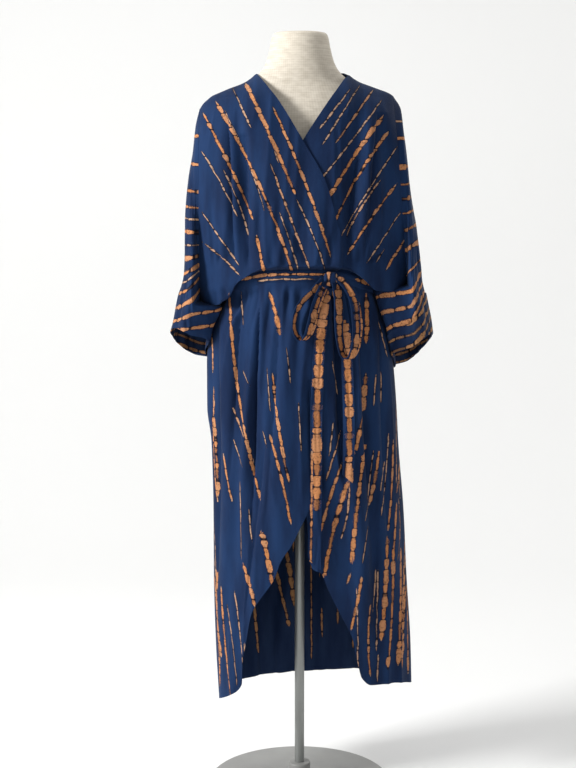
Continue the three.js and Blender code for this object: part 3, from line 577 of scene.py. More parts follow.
def small_folds(face, across, half, height):
    """Creases, gathers, pulls and waves, in millimetres outward."""
    seed = GATHERS[FACE_NAME[face]]
    girth = MEAN_REACH * across / half
    sway = 14.0 * random_hills(girth / 90.0, height / 260.0, seed + 1)
    belt = BELT_FRONT if face < 0 else BELT_BACK
    from_belt = np.abs(height - belt)
    gathers = random_hills((girth + sway) / 9.0, height / 95.0, seed + 2)
    gathers *= GATHER_LIFT * np.exp(-((from_belt / 120.0) ** 2))
    pulls = random_hills((girth + sway) / 22.0, height / 240.0, seed + 3)
    pulls = PULL_LIFT * (1.0 - 2.0 * np.abs(pulls) ** 0.7)
    waves = WAVE_LIFT * random_hills((girth + sway) / 38.0, height / 330.0, seed + 4)
    waves *= ease((belt - 60.0 - height) / 250.0)
    quiet = ease((from_belt - BELT_QUIET) / 22.0)
    return quiet * (gathers + pulls + waves - crease_drop(face, across, height))


print("small folds ready")

# %% [markdown]
# ## Sections of the body
# Each row of a panel is a section: a flattened oval, pushed out where a fold rises. The same few
# functions serve the fronts and the back. A level from 0 to 1 falls from the shoulder to the lowest
# line of the blouse, 1 to 2 turns in under the belt, and 2 to 3 is the skirt.

# %% Section functions


def hole_across(side, fall):
    top, low = ARMHOLES[side]
    return mix(top, low, fall) - SEAM_GAP / 2


def hull_half(side, fall):
    return hole_across(side, fall) + ARMHOLE_SWELL * max(0.0, math.sin(math.pi * fall)) ** 0.8


def depth_share(across, half):
    return np.maximum(0.0, 1 - (across / half) ** 2) ** SECTION_POWER


def angle_of(across, half):
    return np.arcsin(np.clip(across / half, -1, 1))


def overlap_share(across):
    return 1 - ease((np.abs(across) - 95) / 38)


def layer_drop(lift, across):
    return 1.1 * lift * overlap_share(across)


def push_out(across, away, height, half, depth, face, lift):
    sideways = across / half**2
    forward = away / depth**2
    length = np.maximum(np.hypot(sideways, forward), 1e-9)
    moved_across = across + lift * sideways / length
    moved_away = face * (away + lift * forward / length)
    return np.stack([moved_across, moved_away, height], axis=-1)


def shoulder_height(across):
    reach = np.abs(across)
    right = read(SHOULDER_LINE, "across", "right", reach)
    return by_side(across, right, read(SHOULDER_LINE, "across", "left", reach))


def belt_height(angle, face):
    side = np.abs(np.sin(angle)) ** 3
    middle = BELT_FRONT if face < 0 else BELT_BACK
    return middle - (middle - BELT_FRONT + BELT_SIDE_DROP) * side


def belt_low(angle, face):
    return belt_height(angle, face) - BELT_WIDTH / 2 - 1


def skirt_half(across, height):
    right = read(SKIRT_SECTIONS, "height", "right", height)
    return by_side(across, right, read(SKIRT_SECTIONS, "height", "left", height))


def bodice_row(face, folds, lift, angle, fall, small=1.0):
    half = by_side(angle, hull_half("right", fall), hull_half("left", fall))
    across = half * np.sin(angle)
    low = read(BLOUSE_LINE, "across", FACE_NAME[face], across)
    height = mix(shoulder_height(across), low, fall)
    out = math.sqrt(1 - (1 - min(1.0, fall / SHOULDER_ROUND)) ** 2)
    neck_half = by_side(across, NECK_POINT["right"], NECK_POINT["left"])
    neck = NECK_BACK_DEPTH * np.sqrt(np.maximum(0, 1 - (across / neck_half) ** 2)) if face > 0 else 0.0
    depth = read(BODICE_DEPTH, "height", FACE_NAME[face], height) + BLOUSE_PUFF * ease((fall - 0.75) / 0.25)
    away = mix(neck, depth * depth_share(across, half), out)
    hole = by_side(across, hole_across("right", fall), hole_across("left", fall))
    hole_fade = ease((hole - np.abs(across)) / 25)
    bulge = fold_lift(folds, across, height) + lift * overlap_share(across) * ease(fall / 0.2)
    bulge = bulge + small * ease(fall / 0.15) * small_folds(face, across, half, height)
    height = height - layer_drop(lift, across) * ease((fall - 0.8) / 0.2)
    return push_out(across, away, height, half, depth, face, hole_fade * bulge)


def waist_row(face, lift, angle, turn):
    outer_half = by_side(angle, hull_half("right", 1.0), hull_half("left", 1.0))
    low = read(BLOUSE_LINE, "across", FACE_NAME[face], outer_half * np.sin(angle))
    inner_half = skirt_half(angle, belt_low(angle, face))
    inner_depth = read(SKIRT_SECTIONS, "height", FACE_NAME[face], belt_low(angle, face))
    outer_depth = read(BODICE_DEPTH, "height", FACE_NAME[face], low) + BLOUSE_PUFF
    inward = read(WAIST_TURN, "turn", "inward", turn)
    half = mix(outer_half, inner_half, inward)
    depth = mix(outer_depth, inner_depth, inward)
    under = max(0.0, (turn - TURN_END) / (1 - TURN_END))
    belt_top = belt_height(angle, face) + BELT_WIDTH / 2 + BELT_CLEARANCE
    across = half * np.sin(angle)
    turned = mix(low, belt_top, read(WAIST_TURN, "turn", "up", turn))
    height = mix(turned, belt_low(angle, face), under) - layer_drop(lift, across) * (1 - under)
    side_fade = ease((half - np.abs(across)) / 8)
    bulge = lift * overlap_share(across)
    bulge = bulge + side_fade * (1 - inward) * small_folds(face, across, half, height)
    return push_out(across, depth * depth_share(across, half), height, half, depth, face, bulge)


def skirt_row(face, folds, lift, angle, height):
    half = skirt_half(angle, height)
    depth = read(SKIRT_SECTIONS, "height", FACE_NAME[face], height)
    across = half * np.sin(angle)
    side_fade = ease((half - np.abs(across)) / 8)
    bulge = side_fade * (fold_lift(folds, across, height) + small_folds(face, across, half, height))
    bulge = bulge + lift * overlap_share(across)
    return push_out(across, depth * depth_share(across, half), height, half, depth, face, bulge)


print("belt stands", float(belt_height(0.0, -1)), "mm up at the front")

# %% [markdown]
# ## Fronts and back as grids
# A sheet is a grid: shares run from one edge of the panel to the other, levels from the top down.
# The fronts' free edges follow their own tables, so their rows start at the neckline and the wrap.

# %% Panel grids
BODY_LEVELS = (
    [0, 0.03, 0.07, 0.12, 0.18, 0.25, 0.34, 0.44, 0.54, 0.64, 0.74, 0.84, 0.93]
    + [1, 1.14, 1.3, 1.46, 1.6, 2]
    + [2.05, 2.11, 2.19, 2.28, 2.38, 2.48, 2.58, 2.68, 2.78, 2.87, 2.94, 3]
)
ROWS_BETWEEN = 8
FRONT_COLUMNS = 112
BACK_COLUMNS = 168


def denser(values, times):
    places = np.arange((len(values) - 1) * times + 1) / times
    return np.interp(places, np.arange(len(values)), values)


def edge_angle(panel, height, half):
    return angle_of(read(panel["edge"], "height", "across", height), half)


def front_row(panel, share, level):
    side = panel["side"]
    seam_sign = SIDE_SIGN[side]
    if level <= 1:
        edge_height = mix(NECK_HEIGHT, BELT_FRONT + 16, level)
        edge_side = "right" if read(panel["edge"], "height", "across", edge_height) < 0 else "left"
        free = edge_angle(panel, edge_height, hull_half(edge_side, level))
        seam = seam_sign * angle_of(hole_across(side, level), hull_half(side, level))
        points = bodice_row(-1, FRONT_FOLDS, panel["lift"], mix(free, seam, share), level)
    else:
        seam = seam_sign * math.pi / 2
        half = read(SKIRT_SECTIONS, "height", side_across(side), 1000)
        start = mix(edge_angle(panel, BELT_FRONT - 12, half), seam, share)
        if level <= 2:
            points = front_turn_row(panel, share, level - 1, seam, half, belt_low(start, -1))
        else:
            height = mix(belt_low(start, -1), read(panel["hem"], "share", "height", share), level - 2)
            edge_half = skirt_half(read(panel["edge"], "height", "across", height), height)
            loose = ease((level - 2) / 0.1)
            free = mix(edge_angle(panel, height, half), edge_angle(panel, height, edge_half), loose)
            points = skirt_row(-1, FRONT_FOLDS, panel["lift"], mix(free, seam, share), height)
    points[:, 1] -= SEAM_GAP / 2
    return points


def side_across(side):
    """The fronts cross the middle, so a free edge lies on the other side's section."""
    return "left" if side == "right" else "right"


def front_turn_row(panel, share, turn, seam, half, low):
    height = mix(BELT_FRONT + 16, low, turn)
    edge = read(panel["edge"], "height", "across", height)
    outer = by_side(edge, hull_half("right", 1.0), hull_half("left", 1.0))
    edge_half = mix(outer, half, read(WAIST_TURN, "turn", "inward", turn))
    angle = mix(edge_angle(panel, height, edge_half), seam, share)
    return waist_row(-1, panel["lift"], angle, turn)


def back_row(share, level):
    angle = mix(-math.pi / 2, math.pi / 2, share)
    if level <= 1:
        right_end = -angle_of(hole_across("right", level), hull_half("right", level))
        left_end = angle_of(hole_across("left", level), hull_half("left", level))
        points = bodice_row(1, BACK_FOLDS, 0.0, mix(right_end, left_end, share), level)
    elif level <= 2:
        points = waist_row(1, 0.0, angle, level - 1)
    else:
        height = mix(belt_low(angle, 1), read(BACK_HEM, "share", "height", share), level - 2)
        points = skirt_row(1, BACK_FOLDS, 0.0, angle, height)
    points[:, 1] += SEAM_GAP / 2
    return points


def panel_grid(row_function, columns):
    share = np.linspace(0, 1, columns + 1)
    levels = denser(BODY_LEVELS, ROWS_BETWEEN)
    return np.stack([row_function(share, level) for level in levels])


right_grid = panel_grid(lambda share, level: front_row(RIGHT_FRONT, share, level), FRONT_COLUMNS)
left_grid = panel_grid(lambda share, level: front_row(LEFT_FRONT, share, level), FRONT_COLUMNS)
back_grid = panel_grid(back_row, BACK_COLUMNS)
for grid_name, grid in (("right front", right_grid), ("left front", left_grid), ("back", back_grid)):
    print(grid_name, "grid", grid.shape[:2], "box", grid.min((0, 1)).round(), grid.max((0, 1)).round())

# %% [markdown]
# ## Where the rows of beads run
# Each row is one line of thread across the cloth. A row of the table gives where the line starts and
# ends as seen from the front, how far it bows sideways, half its width and how long a bead is. The
# fronts have rows of their own. On the back and the sides, which a photograph from the front cannot
# show, rows of the same kind are drawn at random.

# %% Dye rows
DYE_ROWS = "top_across top low_across low bow half bead"
RIGHT_ROWS = table(
    DYE_ROWS,
    (-160, 1355, -14, 1033, 13, 3.2, 22), (-104, 1390, -8, 1176, 2, 3.4, 24),
    (-8, 1172, 46, 1040, 4, 1.5, 15), (-52, 1342, 57, 1062, 6, 2.6, 20),
    (-56, 1238, 18, 1040, 0, 1.9, 17), (-184, 1334, -86, 1130, 4, 3.4, 22),
    (-82, 1110, -66, 1030, 0, 3.6, 22), (-128, 1380, -90, 1300, 0, 1.5, 16),
    (-186, 1262, -116, 1136, 4, 1.4, 16), (-186, 1150, -112, 1046, 0, 1.4, 17),
    (-186, 1092, -112, 1028, 6, 1.7, 16), (-142, 1336, -66, 1150, 6, 1.4, 17),
    (-74, 1330, -40, 1236, 2, 1.3, 16), (-40, 1150, -4, 1040, 2, 1.4, 16),
    (-146, 1230, -96, 1100, 6, 1.3, 15), (-134, 1000, -73, 600, -12, 3.2, 26),
    (-111, 1000, -107, 930, 0, 1.3, 20), (-58, 1001, -37, 916, 2, 5.0, 23),
    (-52, 852, -20, 640, -4, 2.8, 24), (-109, 854, -94, 820, 0, 1.5, 18),
    (-131, 786, -102, 716, 0, 1.9, 22), (-58, 736, -17, 560, 3, 3.0, 27),
    (-71, 742, -62, 706, 0, 1.4, 20), (-147, 694, -128, 590, -2, 2.2, 26),
    (-129, 724, -108, 664, 0, 1.5, 22), (-74, 552, -52, 436, 2, 5.4, 25),
    (-112, 488, -86, 396, 2, 4.2, 24), (-114, 640, -112, 480, 0, 1.0, 28),
    (-153, 430, -134, 200, -2, 2.6, 28), (-126, 424, -107, 240, 2, 1.6, 24),
    (-90, 366, -90, 250, 0, 1.6, 22), (-80, 396, -66, 270, -2, 1.6, 22),
    (-141, 394, -122, 230, 2, 1.2, 26), (-106, 330, -107, 240, 0, 1.6, 24),
    (-26, 900, -18, 830, 0, 1.2, 20), (-62, 860, -56, 770, 0, 1.1, 22), (-4, 800, 2, 700, 0, 1.3, 20),
    (-90, 690, -82, 620, 0, 1.2, 20), (-98, 590, -92, 520, 0, 1.2, 22),
)
LEFT_ROWS = table(
    DYE_ROWS,
    (156, 1328, 51, 1172, -4, 3.9, 22), (166, 1299, 60, 1122, -8, 3.0, 20),
    (138, 1376, 62, 1270, 0, 2.0, 20), (153, 1356, 36, 1206, 2, 1.4, 15),
    (94, 1376, 34, 1298, 0, 1.5, 14), (182, 1202, 86, 1066, -4, 2.4, 16),
    (150, 1208, 84, 1098, -6, 1.8, 16), (160, 1082, 140, 1052, 0, 1.5, 15),
    (199, 1098, 158, 1036, 0, 2.4, 17), (184, 1272, 74, 1100, -4, 1.4, 16),
    (112, 1384, 40, 1270, 0, 1.3, 15), (190, 1150, 122, 1050, 0, 1.3, 15),
    (124, 998, 124, 898, 2, 5.6, 23), (113, 974, 112, 892, 0, 2.4, 22),
    (124, 846, 102, 692, 4, 4.4, 26), (58, 880, 71, 800, 0, 1.5, 22),
    (144, 848, 139, 780, 0, 1.7, 32), (154, 846, 154, 778, 0, 1.3, 34),
    (148, 942, 167, 870, 0, 1.6, 22), (77, 740, 47, 640, 0, 1.9, 22), (80, 682, 37, 542, -2, 2.7, 24),
    (92, 648, 45, 454, -5, 5.0, 27), (92, 640, 75, 524, 6, 1.8, 22), (124, 716, 98, 476, -3, 4.4, 26),
    (151, 702, 130, 588, 3, 3.0, 24), (170, 730, 155, 568, 2, 1.5, 22),
    (179, 716, 168, 532, 3, 2.6, 26), (187, 594, 180, 480, 0, 3.0, 26),
    (118, 462, 96, 346, 2, 2.9, 24), (99, 470, 87, 436, 0, 2.2, 20),
    (136, 406, 137, 250, -5, 2.6, 26), (167, 530, 157, 320, 3, 5.2, 25),
    (180, 510, 171, 262, 3, 4.6, 26), (196, 500, 192, 262, 2, 4.8, 29),
    (74, 384, 74, 316, 0, 2.6, 24), (130, 560, 118, 480, 0, 1.3, 22),
    (140, 700, 128, 600, 0, 1.4, 22), (163, 680, 152, 610, 0, 1.3, 24),
    (108, 560, 100, 480, 0, 1.4, 22), (147, 470, 140, 380, 0, 1.6, 24),
    (110, 330, 112, 250, 0, 1.5, 22), (152, 300, 150, 240, 0, 1.6, 22),
    (150, 470, 148, 300, 0, 1.5, 22), (108, 440, 112, 300, 0, 1.3, 20),
    (140, 640, 122, 560, 0, 1.2, 22), (186, 860, 186, 620, 0, 1.8, 26),
    (62, 760, 54, 690, 0, 1.2, 20), (210, 420, 214, 236, 0, 3.4, 26),
)
BACK_ROWS = table(
    DYE_ROWS,
    (-70, 486, -20, 284, 2, 3.6, 25), (-32, 480, -10, 330, 2, 4.4, 26),
    (24, 560, 26, 214, 0, 1.5, 26), (47, 330, 48, 262, 0, 1.8, 20), (80, 400, 80, 290, 0, 2.6, 24),
    (-100, 430, -84, 230, 0, 3.0, 25), (-130, 420, -120, 220, 0, 2.2, 25),
    (110, 420, 112, 240, 0, 2.4, 25),
)
ROW_TAPER = 12.0
FAR_AWAY = 1000.0


def girth_of(grid):
    """How far round the body each point lies from the middle, in millimetres."""
    across = grid[..., 0]
    step = np.hypot(np.diff(across, axis=1), np.diff(grid[..., 1], axis=1))
    reach = np.concatenate([np.zeros((len(grid), 1)), np.cumsum(step, axis=1)], axis=1)
    reach *= np.sign(across[:, -1:] - across[:, :1])
    middle = np.abs(across).argmin(axis=1)[:, None]
    offset = np.take_along_axis(across, middle, 1) - np.take_along_axis(reach, middle, 1)
    return reach + offset


def girth_at(across, girth, wanted):
    order = np.argsort(across)
    inside = np.clip(wanted, across[order[0]], across[order[-1]])
    return np.interp(inside, across[order], girth[order]) + wanted - inside


def surface_metric(grid):
    down_step, side_step = np.gradient(grid, axis=(0, 1))
    down_square = (down_step**2).sum(-1)
    side_square = (side_step**2).sum(-1)
    shear = (down_step * side_step).sum(-1)
    return down_square, side_square, shear, np.maximum(down_square * side_square - shear**2, 1e-6)


def dye_row(metric, away, run, length, half, bead, number):
    """One row of beads: its distances all over a sheet, as a dictionary."""
    down_square, side_square, shear, area = metric
    down_rate, side_rate = np.gradient(away)
    slope = side_square * down_rate**2 + down_square * side_rate**2 - 2 * shear * down_rate * side_rate
    taper = ease(run / ROW_TAPER) * ease((length - run) / ROW_TAPER)
    return {
        "side": away / np.clip(np.sqrt(np.maximum(slope, 0.0) / area), 0.6, 2.5),
        "run": run + np.zeros_like(away),
        "half": half * taper + np.zeros_like(away),
        "active": (run > 0) & (run < length),
        "bead": bead,
        "seed": (number * 7.31 + 3.0) % 50.0,
    }


def panel_rows(grid, rows):
    girth = girth_of(grid)
    height = grid[..., 2]
    metric = surface_metric(grid)
    made = []
    for top_across, top, low_across, low, bow, half, bead in zip(*rows.values()):
        down = np.clip((top - height) / (top - low), -0.2, 1.2)
        across = mix(top_across, low_across, down) + 4 * bow * down * (1 - down)
        centre = np.stack([girth_at(*line) for line in zip(grid[..., 0], girth, across)])
        slant = math.hypot(1.0, (low_across - top_across) / (top - low))
        run = (top - height) * slant
        made.append(dye_row(metric, girth - centre, run, (top - low) * slant, half, bead, len(made)))
    return made


def random_rows(seed, count, across_range, height_range, drift):
    """Rows drawn at random: most are thin, one in three is wide."""
    draw = np.random.default_rng(seed)
    rows = []
    for number in range(count):
        top_across = draw.uniform(*across_range)
        top = draw.uniform(*height_range)
        length = draw.uniform(60, 240)
        wide = number % 3 == 0
        half = draw.uniform(3.4, 5.6) if wide else draw.uniform(1.4, 2.6)
        slant = drift * draw.uniform(0.2, 1.0) * length
        bow = draw.uniform(-6, 6)
        rows.append((top_across, top, top_across + slant, top - length, bow, half, draw.uniform(20, 28)))
    return table(DYE_ROWS, *rows)


def both(first, second):
    return {name: np.concatenate([first[name], second[name]]) for name in first}


print("rows on the fronts:", len(RIGHT_ROWS["half"]), "and", len(LEFT_ROWS["half"]))

# %% [markdown]
# ## From a grid to a sheet of cloth
# A sheet becomes a mesh of four-cornered faces. Every face belongs to one row of beads, the nearest,
# and its corners carry the distances that the cloth finish reads. A solidify modifier then gives the
# cloth its thickness and puts the paler wrong side on the inner face.

# %% Sheet builder
UV_NAME = "cloth_uv"
CREASE_ANGLE = math.radians(50)
WELD_REACH = 0.1


def sheet_faces(shape):
    rows, columns = shape
    index = np.arange(rows * columns).reshape(rows, columns)
    corners = [index[:-1, :-1], index[:-1, 1:], index[1:, 1:], index[1:, :-1]]
    return np.stack(corners, axis=-1).reshape(-1, 4)


def facing_out(grid, faces, axis):
    """Turn every face over if the sheet looks at its own axis."""
    points = grid.reshape(-1, 3)
    corner = points[faces]
    normal = np.cross(corner[:, 2] - corner[:, 0], corner[:, 3] - corner[:, 1])
    outward = corner.mean(1) - np.broadcast_to(axis, grid.shape).reshape(-1, 3)[faces[:, 0]]
    return faces if (normal * outward).sum() > 0 else faces[:, ::-1]


def nearest_rows(made, faces):
    def all_rows(name):
        return np.stack([row[name].reshape(-1) for row in made])

    side, run, half = all_rows("side"), all_rows("run"), all_rows("half")
    reach = np.where(all_rows("active"), np.abs(side) - half, FAR_AWAY)
    reach = reach[:, faces].mean(-1)
    chosen = reach.argmin(0)
    pick = (chosen[:, None], faces)
    place = np.stack([side[pick], run[pick], half[pick]], axis=-1)
    place[reach.min(0) > FAR_AWAY / 4] = (FAR_AWAY, 0.0, 1.0)
    bead = np.array([row["bead"] for row in made])[chosen]
    seed = np.array([row["seed"] for row in made])[chosen]
    return place, bead, seed


def corner_data(mesh, name, values):
    layer = mesh.attributes.new(name, "FLOAT_VECTOR", "CORNER")
    layer.data.foreach_set("vector", values.astype(np.float32).ravel())


def select_only(piece):
    bpy.ops.object.select_all(action="DESELECT")
    piece.select_set(True)
    bpy.context.view_layer.objects.active = piece


def weld(piece):
    select_only(piece)
    bpy.ops.object.mode_set(mode="EDIT")
    bpy.ops.mesh.select_all(action="SELECT")
    bpy.ops.mesh.remove_doubles(threshold=WELD_REACH * MM)
    bpy.ops.object.mode_set(mode="OBJECT")


def thicken(piece, wall):
    select_only(piece)
    bpy.ops.object.modifier_add(type="SOLIDIFY")
    solidify = piece.modifiers[-1]
    solidify.thickness = wall * MM
    solidify.offset = 0.0
    solidify.material_offset = 1
    bpy.ops.object.modifier_apply(modifier=solidify.name)


def smooth(piece):
    select_only(piece)
    bpy.ops.object.shade_smooth_by_angle(angle=CREASE_ANGLE)


def make_sheet(name, grid, made, layout, edge, axis, finishes, wall=THIN_WALL, tube=False):
    """A sheet from a grid of points, its dye rows, its flat layout and its distance to an edge."""
    faces = facing_out(grid, sheet_faces(grid.shape[:2]), axis)
    mesh = bpy.data.meshes.new(name)
    mesh.from_pydata((grid.reshape(-1, 3) * MM).tolist(), [], faces.tolist())
    place, bead, seed = nearest_rows(made, faces)
    edges = (edge + np.zeros(grid.shape[:2])).reshape(-1)[faces]
    kind = np.stack([bead[:, None] + 0 * edges, seed[:, None] + 0 * edges, edges], axis=-1)
    corner_data(mesh, "row_place", place)
    corner_data(mesh, "row_kind", kind)
    flat = np.stack([side + np.zeros(grid.shape[:2]) for side in layout], axis=-1) * MM
    uv_map = mesh.uv_layers.new(name=UV_NAME)
    uv_map.data.foreach_set("uv", flat.reshape(-1, 2)[faces].astype(np.float32).ravel())
    piece = bpy.data.objects.new(name, mesh)
    bpy.context.collection.objects.link(piece)
    for finish in finishes:
        mesh.materials.append(finish)
    if tube:
        weld(piece)
    thicken(piece, wall)
    smooth(piece)
    return piece


def settle(piece, slot, *nodes):
    """Ride with the body and stand for the plain solids. The slot is not used."""
    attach(piece, "root")
    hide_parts(*nodes)
    print(piece.name, len(piece.data.polygons), "faces")


def length_down(grid):
    step = np.linalg.norm(np.diff(grid, axis=0), axis=-1)
    return np.concatenate([np.zeros((1, grid.shape[1])), np.cumsum(step, axis=0)], axis=0)


def length_along(grid):
    step = np.linalg.norm(np.diff(grid, axis=1), axis=-1)
    return np.concatenate([np.zeros((len(grid), 1)), np.cumsum(step, axis=1)], axis=1)


print("sheet builder ready")

# %% [markdown]
# ## Fronts and back
# The right front laps over the left one. Both have a narrow turned edge from the neckline to the hem,
# held by one line of stitches. The back is one piece; its hem is turned in the same way.

# %% Fronts and back


def panel_sheet(name, grid, rows, free_edge):
    down = length_down(grid)
    edge = down[-1:] - down
    if free_edge:
        edge = np.minimum(edge, length_along(grid))
    layout = (girth_of(grid), grid[..., 2])
    axis = grid * (0, 0, 1)
    return make_sheet(name, grid, panel_rows(grid, rows), layout, edge, axis, (cloth, wrong_side))


right_side_rows = random_rows(31, 8, (-176, -158), (420, 960), 0.05)
left_side_rows = random_rows(32, 8, (186, 212), (420, 960), -0.05)
bodice_rows = random_rows(33, 24, (-175, 175), (1120, 1375), 0.02)
skirt_rows = random_rows(34, 30, (-170, 190), (560, 1000), 0.03)
back_rows = both(bodice_rows, skirt_rows)
back_rows = both(back_rows, BACK_ROWS)
right_front = panel_sheet("right_front_cloth", right_grid, both(RIGHT_ROWS, right_side_rows), True)
left_front = panel_sheet("left_front_cloth", left_grid, both(LEFT_ROWS, left_side_rows), True)
back = panel_sheet("back_cloth", back_grid, back_rows, False)
settle(right_front, "cloth", "right_front")
settle(left_front, "cloth", "left_front")
settle(back, "cloth", "back")

# %% [markdown]
# ## Sleeves
# A sleeve is one piece folded along its top and sewn underneath. Empty, it hangs straight down from
# its armhole, so its sections are long and narrow at the top and small at the cuff. It starts on the
# very edge of the armhole and follows its own table of rings from there.

# %% Sleeve measures
SLEEVE_RINGS = "along top_across top low_across low depth tilt"
RIGHT_SLEEVE = {
    "side": "right",
    "rings": table(
        SLEEVE_RINGS,
        (0, 190.7, 1338, 191, 977, 62, 0), (0.07, 198.5, 1307, 192.5, 973, 68, 0),
        (0.19, 204.7, 1256, 192, 966, 72, 0), (0.3, 212.7, 1208, 191, 959, 75, 0),
        (0.44, 218.4, 1147, 189.5, 948, 78, 0), (0.57, 220.6, 1092, 189, 936, 80, 3),
        (0.69, 223, 1037, 188, 922, 81, 8), (0.82, 234.6, 981, 187, 904, 79, 15),
        (0.92, 244, 938, 186, 886, 74, 22), (1, 250.5, 912, 184, 874, 68, 27),
    ),
}
LEFT_SLEEVE = {
    "side": "left",
    "rings": table(
        SLEEVE_RINGS,
        (0, 176, 1365, 204, 1008, 62, 0), (0.07, 191.5, 1339, 205.5, 1002, 67, 0),
        (0.14, 195.5, 1307, 205.2, 995, 70, 0), (0.24, 201, 1263, 204.5, 984, 73, 0),
        (0.36, 207.5, 1209, 203, 970, 76, 0), (0.48, 216, 1154, 201, 954, 78, 0),
        (0.57, 223, 1117, 200, 941, 80, 2), (0.66, 229, 1073, 198, 926, 80, 5),
        (0.77, 233.5, 1022, 196, 905, 80, 10), (0.87, 243, 978, 194, 884, 77, 15),
        (0.95, 251, 937, 192.5, 864, 72, 19), (1, 254.5, 908, 191.5, 850, 68, 22),
    ),
}
SLEEVE_FOLDS = table(
    "hole_angle cuff_angle width lift start",
    (40, 55, 16, -5, 0.25), (75, 95, 18, 6, 0.1), (118, 128, 14, -4, 0.4), (300, 285, 20, 6, 0.1),
    (250, 245, 16, -5, 0.3),
)
TURN_UP_START = 0.84
TURN_UP_LIFT = 2.2
SLEEVE_CLEARANCE = 5
TUCK_START = 1.0
TUCK_DROP = 8
SLEEVE_SHARES = np.linspace(0, 1, 113)
SLEEVE_LEVELS = np.linspace(0, 1, 105)
SLEEVE_CRUMPLE = 3.8


def armhole_curve(side):
    """The points of a body panel's armhole, once round, from the underarm."""
    points = []
    for share in SLEEVE_SHARES:
        fall = (1 + math.cos(2 * math.pi * share)) / 2
        face = -1 if share <= 0.5 else 1
        angle = SIDE_SIGN[side] * angle_of(hole_across(side, fall), hull_half(side, fall))
        points.append(bodice_row(face, FRONT_FOLDS, 0.0, np.array([angle]), fall)[0])
    return np.array(points) + (SIDE_SIGN[side] * ARMHOLE_GAP, 0, 0)


def ring_line(sleeve, along):
    """The underarm point of a ring and the step from there to its top fold."""
    sign = SIDE_SIGN[sleeve["side"]]
    low_across, low, top_across, top = (
        float(read(sleeve["rings"], "along", name, along))
        for name in ("low_across", "low", "top_across", "top")
    )
    return np.array([sign * low_across, 0, low]), np.array([sign * (top_across - low_across), 0, top - low])


def beside_skirt(points, side):
    half = read(SKIRT_SECTIONS, "height", side, points[:, 2])
    depth = np.where(
        points[:, 1] < 0,
        read(SKIRT_SECTIONS, "height", "front", points[:, 2]),
        read(SKIRT_SECTIONS, "height", "back", points[:, 2]),
    )
    away = np.minimum(1.0, np.abs(points[:, 1]) / depth)
    return half * np.sqrt(1 - away ** (1 / SECTION_POWER)) + SLEEVE_CLEARANCE


def sleeve_bulge(sleeve, angle, along):
    degrees = np.degrees(angle)
    bulge = np.zeros_like(angle)
    for hole_angle, cuff_angle, width, lift, start in zip(*SLEEVE_FOLDS.values()):
        aside = (degrees - mix(hole_angle, cuff_angle, along)) / width
        bulge += lift * np.exp(-(aside**2)) * ease((along - start) / 0.3)
    seed = 51 if sleeve["side"] == "right" else 61
    turn = np.abs(angle / math.pi - 1)
    crumple = random_hills(turn * 9.0 + along * 2.0, along * 4.5, seed)
    crumple += 0.6 * random_hills(turn * 17.0 - along * 5.0, along * 11.0, seed + 1)
    return bulge + SLEEVE_CRUMPLE * crumple * ease((along - 0.05) / 0.2)


def sleeve_row(sleeve, hole, along):
    side = sleeve["side"]
    sign = SIDE_SIGN[side]
    angle = 2 * math.pi * SLEEVE_SHARES
    up = (1 - np.cos(angle)) / 2
    low_point, to_top = ring_line(sleeve, along)
    first_low, first_to_top = ring_line(sleeve, 0.0)
    points = low_point + up[:, None] * to_top
    start = hole * (1, 0, 1) - first_low - up[:, None] * first_to_top
    points = points + start * (1 - ease(along / 0.2))
    depth = float(read(sleeve["rings"], "along", "depth", along))
    oval = -np.sign(np.sin(angle)) * np.abs(np.sin(angle)) ** 0.85 * depth
    points[:, 1] = mix(hole[:, 1], oval, ease(along / 0.3))
    points[:, 2] -= float(read(sleeve["rings"], "along", "tilt", along)) * points[:, 1] / depth
    bulge = sleeve_bulge(sleeve, angle, along)
    axis = to_top / np.linalg.norm(to_top)
    points -= (np.cos(angle) * bulge)[:, None] * axis
    points[:, 1] -= np.sin(angle) * bulge
    blouse_low = float(read(BLOUSE_LINE, "across", "front", sign * ARMHOLES[side][1]))
    below = ease((blouse_low - TUCK_START - points[:, 2]) / TUCK_DROP)
    tuck = below * ease((0.4 - up) / 0.3) * ease((along - 0.12) / 0.2)
    points[:, 0] = sign * mix(np.abs(points[:, 0]), beside_skirt(points, side), tuck)
    return points


def sleeve_grid(sleeve):
    hole = armhole_curve(sleeve["side"])
    return np.stack([sleeve_row(sleeve, hole, along) for along in SLEEVE_LEVELS])


right_sleeve_grid = sleeve_grid(RIGHT_SLEEVE)
left_sleeve_grid = sleeve_grid(LEFT_SLEEVE)
print("sleeve grids", right_sleeve_grid.shape[:2])

# %% [markdown]
# ## Rows of beads round the sleeves
# The sleeve's cloth was folded the other way for dyeing, so its rows run round the arm. Each row of
# the table gives its height on the outer fold and at the armhole, and where it starts and ends, in
# degrees round from the outer fold towards the front. The last piece is the left cuff, turned up.

